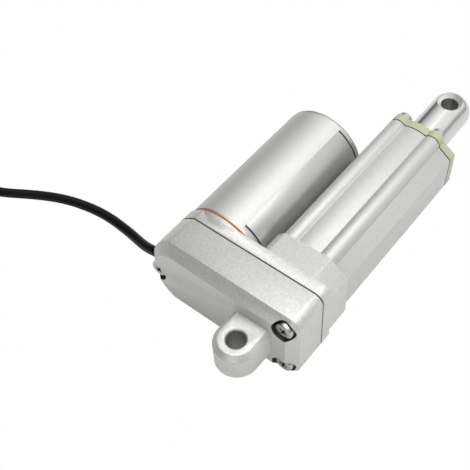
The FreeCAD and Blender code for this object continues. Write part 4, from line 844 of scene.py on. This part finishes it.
def add_light(name, place, size, power):
    """Add a soft light that looks at the middle of the stage."""
    data = bpy.data.lights.new(name, "AREA")
    data.energy = power
    data.shape = "RECTANGLE"
    data.size, data.size_y = size
    light = bpy.data.objects.new(name, data)
    light.location = place
    aim = Vector(STAGE_MIDDLE) - Vector(place)
    light.rotation_euler = aim.to_track_quat("-Z", "Y").to_euler()
    bpy.context.scene.collection.objects.link(light)


def split_rays(tree, lighting, seen, output):
    """Show the camera one shader, and let the other one light the stage."""
    path = tree.nodes.new("ShaderNodeLightPath")
    blend = tree.nodes.new("ShaderNodeMixShader")
    tree.links.new(path.outputs["Is Camera Ray"], blend.inputs["Fac"])
    tree.links.new(lighting, blend.inputs[1])
    tree.links.new(seen, blend.inputs[2])
    tree.links.new(blend.outputs["Shader"], tree.nodes[output].inputs["Surface"])


def make_floor():
    """Lay a plain floor that looks white and is lit as pale paper."""
    deselect()
    bpy.ops.mesh.primitive_plane_add(size=FLOOR_SIZE, location=(0, 0, FLOOR_LEVEL))
    floor = bpy.context.active_object
    floor.name = "floor"
    apply_place(floor)
    material, tree, shader = new_material(
        "white_floor", (0.85, 0.85, 0.85), metallic=0, roughness=0.9)
    shader.inputs["Specular IOR Level"].default_value = 0.0
    glow = tree.nodes.new("ShaderNodeEmission")
    split_rays(tree, shader.outputs["BSDF"], glow.outputs["Emission"], "Material Output")
    paint(floor, material)


def make_world(strength):
    """Surround the stage with white, brightest at one side and dim above the horizon."""
    world = bpy.data.worlds.new("soft_white")
    world.use_nodes = True
    tree = world.node_tree
    background = tree.nodes["Background"]
    place = tree.nodes.new("ShaderNodeTexCoord")
    bright_side = tree.nodes.new("ShaderNodeVectorMath")
    bright_side.operation = "DOT_PRODUCT"
    bright_side.inputs[1].default_value = Vector(BRIGHT_SIDE).normalized()
    ramp = tree.nodes.new("ShaderNodeValToRGB")
    for stop, (position, grey) in zip(ramp.color_ramp.elements, SIDE_RAMP):
        stop.position = position
        stop.color = (grey, grey, grey, 1)
    height = tree.nodes.new("ShaderNodeSeparateXYZ")
    strip = tree.nodes.new("ShaderNodeValToRGB")
    for position, grey in HORIZON_STRIP:
        stop = strip.color_ramp.elements.new(position)
        stop.color = (grey, grey, grey, 1)
    dimmed = tree.nodes.new("ShaderNodeMixRGB")
    dimmed.blend_type = "MULTIPLY"
    dimmed.inputs["Fac"].default_value = 1
    tree.links.new(place.outputs["Generated"], bright_side.inputs[0])
    tree.links.new(place.outputs["Generated"], height.inputs[0])
    tree.links.new(bright_side.outputs["Value"], ramp.inputs["Fac"])
    tree.links.new(height.outputs["Z"], strip.inputs["Fac"])
    tree.links.new(ramp.outputs["Color"], dimmed.inputs["Color1"])
    tree.links.new(strip.outputs["Color"], dimmed.inputs["Color2"])
    tree.links.new(dimmed.outputs["Color"], background.inputs["Color"])
    background.inputs["Strength"].default_value = strength
    backdrop = tree.nodes.new("ShaderNodeBackground")
    backdrop.inputs["Color"].default_value = (1, 1, 1, 1)
    split_rays(tree, background.outputs[0], backdrop.outputs[0], "World Output")
    bpy.context.scene.world = world


def make_camera(stage):
    """Set the camera where the photograph's perspective puts it."""
    place = Vector(CAMERA_PLACE) * MM
    turn = Vector(CAMERA_TURN)
    right, down, forward = Matrix.Rotation(turn.length, 3, turn.normalized())
    data = bpy.data.cameras.new("camera")
    data.sensor_width = SENSOR_WIDTH
    data.lens = stage.focal_pixels / PICTURE_PIXELS * SENSOR_WIDTH
    data.shift_x = 0.5 - stage.middle_right / PICTURE_PIXELS
    data.shift_y = stage.middle_down / PICTURE_PIXELS - 0.5
    data.clip_start = 0.01
    data.clip_end = 50
    camera = bpy.data.objects.new("camera", data)
    turned = Matrix((right, -down, -forward)).transposed()
    camera.matrix_world = Matrix.Translation(place) @ turned.to_4x4()
    bpy.context.scene.collection.objects.link(camera)
    bpy.context.scene.camera = camera


class ACTUATOR_OT_stage(bpy.types.Operator):
    """Set up the floor, the soft light and the camera"""

    bl_idname = "actuator.stage"
    bl_label = "Stage"

    def execute(self, context):
        stage = context.scene.actuator_stage
        context.scene.view_settings.view_transform = "Standard"
        make_floor()
        make_world(stage.sky_strength)
        add_light("key", KEY_PLACE, KEY_SIZE, stage.key_power)
        add_light("fill", FILL_PLACE, FILL_SIZE, stage.fill_power)
        make_camera(stage)
        return {"FINISHED"}


class ACTUATOR_PT_parts(bpy.types.Panel):
    """List the steps that dress the actuator"""

    bl_label = "Actuator"
    bl_space_type = "VIEW_3D"
    bl_region_type = "UI"
    bl_category = "Actuator"

    def draw(self, context):
        for step in STEPS:
            self.layout.operator(step.bl_idname)


STEPS = [
    ACTUATOR_OT_finishes,
    ACTUATOR_OT_rounded_parts,
    ACTUATOR_OT_rod,
    ACTUATOR_OT_foil,
    ACTUATOR_OT_cover_screws,
    ACTUATOR_OT_cap_screws,
    ACTUATOR_OT_cable,
    ACTUATOR_OT_stage,
]
GROUPS = {
    "actuator_sizes": ActuatorSizes,
    "actuator_finishes": ActuatorFinishes,
    "actuator_stage": ActuatorStage,
}


def register():
    """Register the property groups, the steps and the panel."""
    for name, group in GROUPS.items():
        bpy.utils.register_class(group)
        setattr(bpy.types.Scene, name, bpy.props.PointerProperty(type=group))
    for step in STEPS:
        bpy.utils.register_class(step)
    bpy.utils.register_class(ACTUATOR_PT_parts)


def unregister():
    """Take back what register() has registered."""
    bpy.utils.unregister_class(ACTUATOR_PT_parts)
    for step in reversed(STEPS):
        bpy.utils.unregister_class(step)
    for name, group in GROUPS.items():
        delattr(bpy.types.Scene, name)
        bpy.utils.unregister_class(group)


def main():
    """Run every step in order."""
    register()
    for step in STEPS:
        group, name = step.bl_idname.split(".")
        getattr(getattr(bpy.ops, group), name)()


if __name__ == "__main__":
    main()
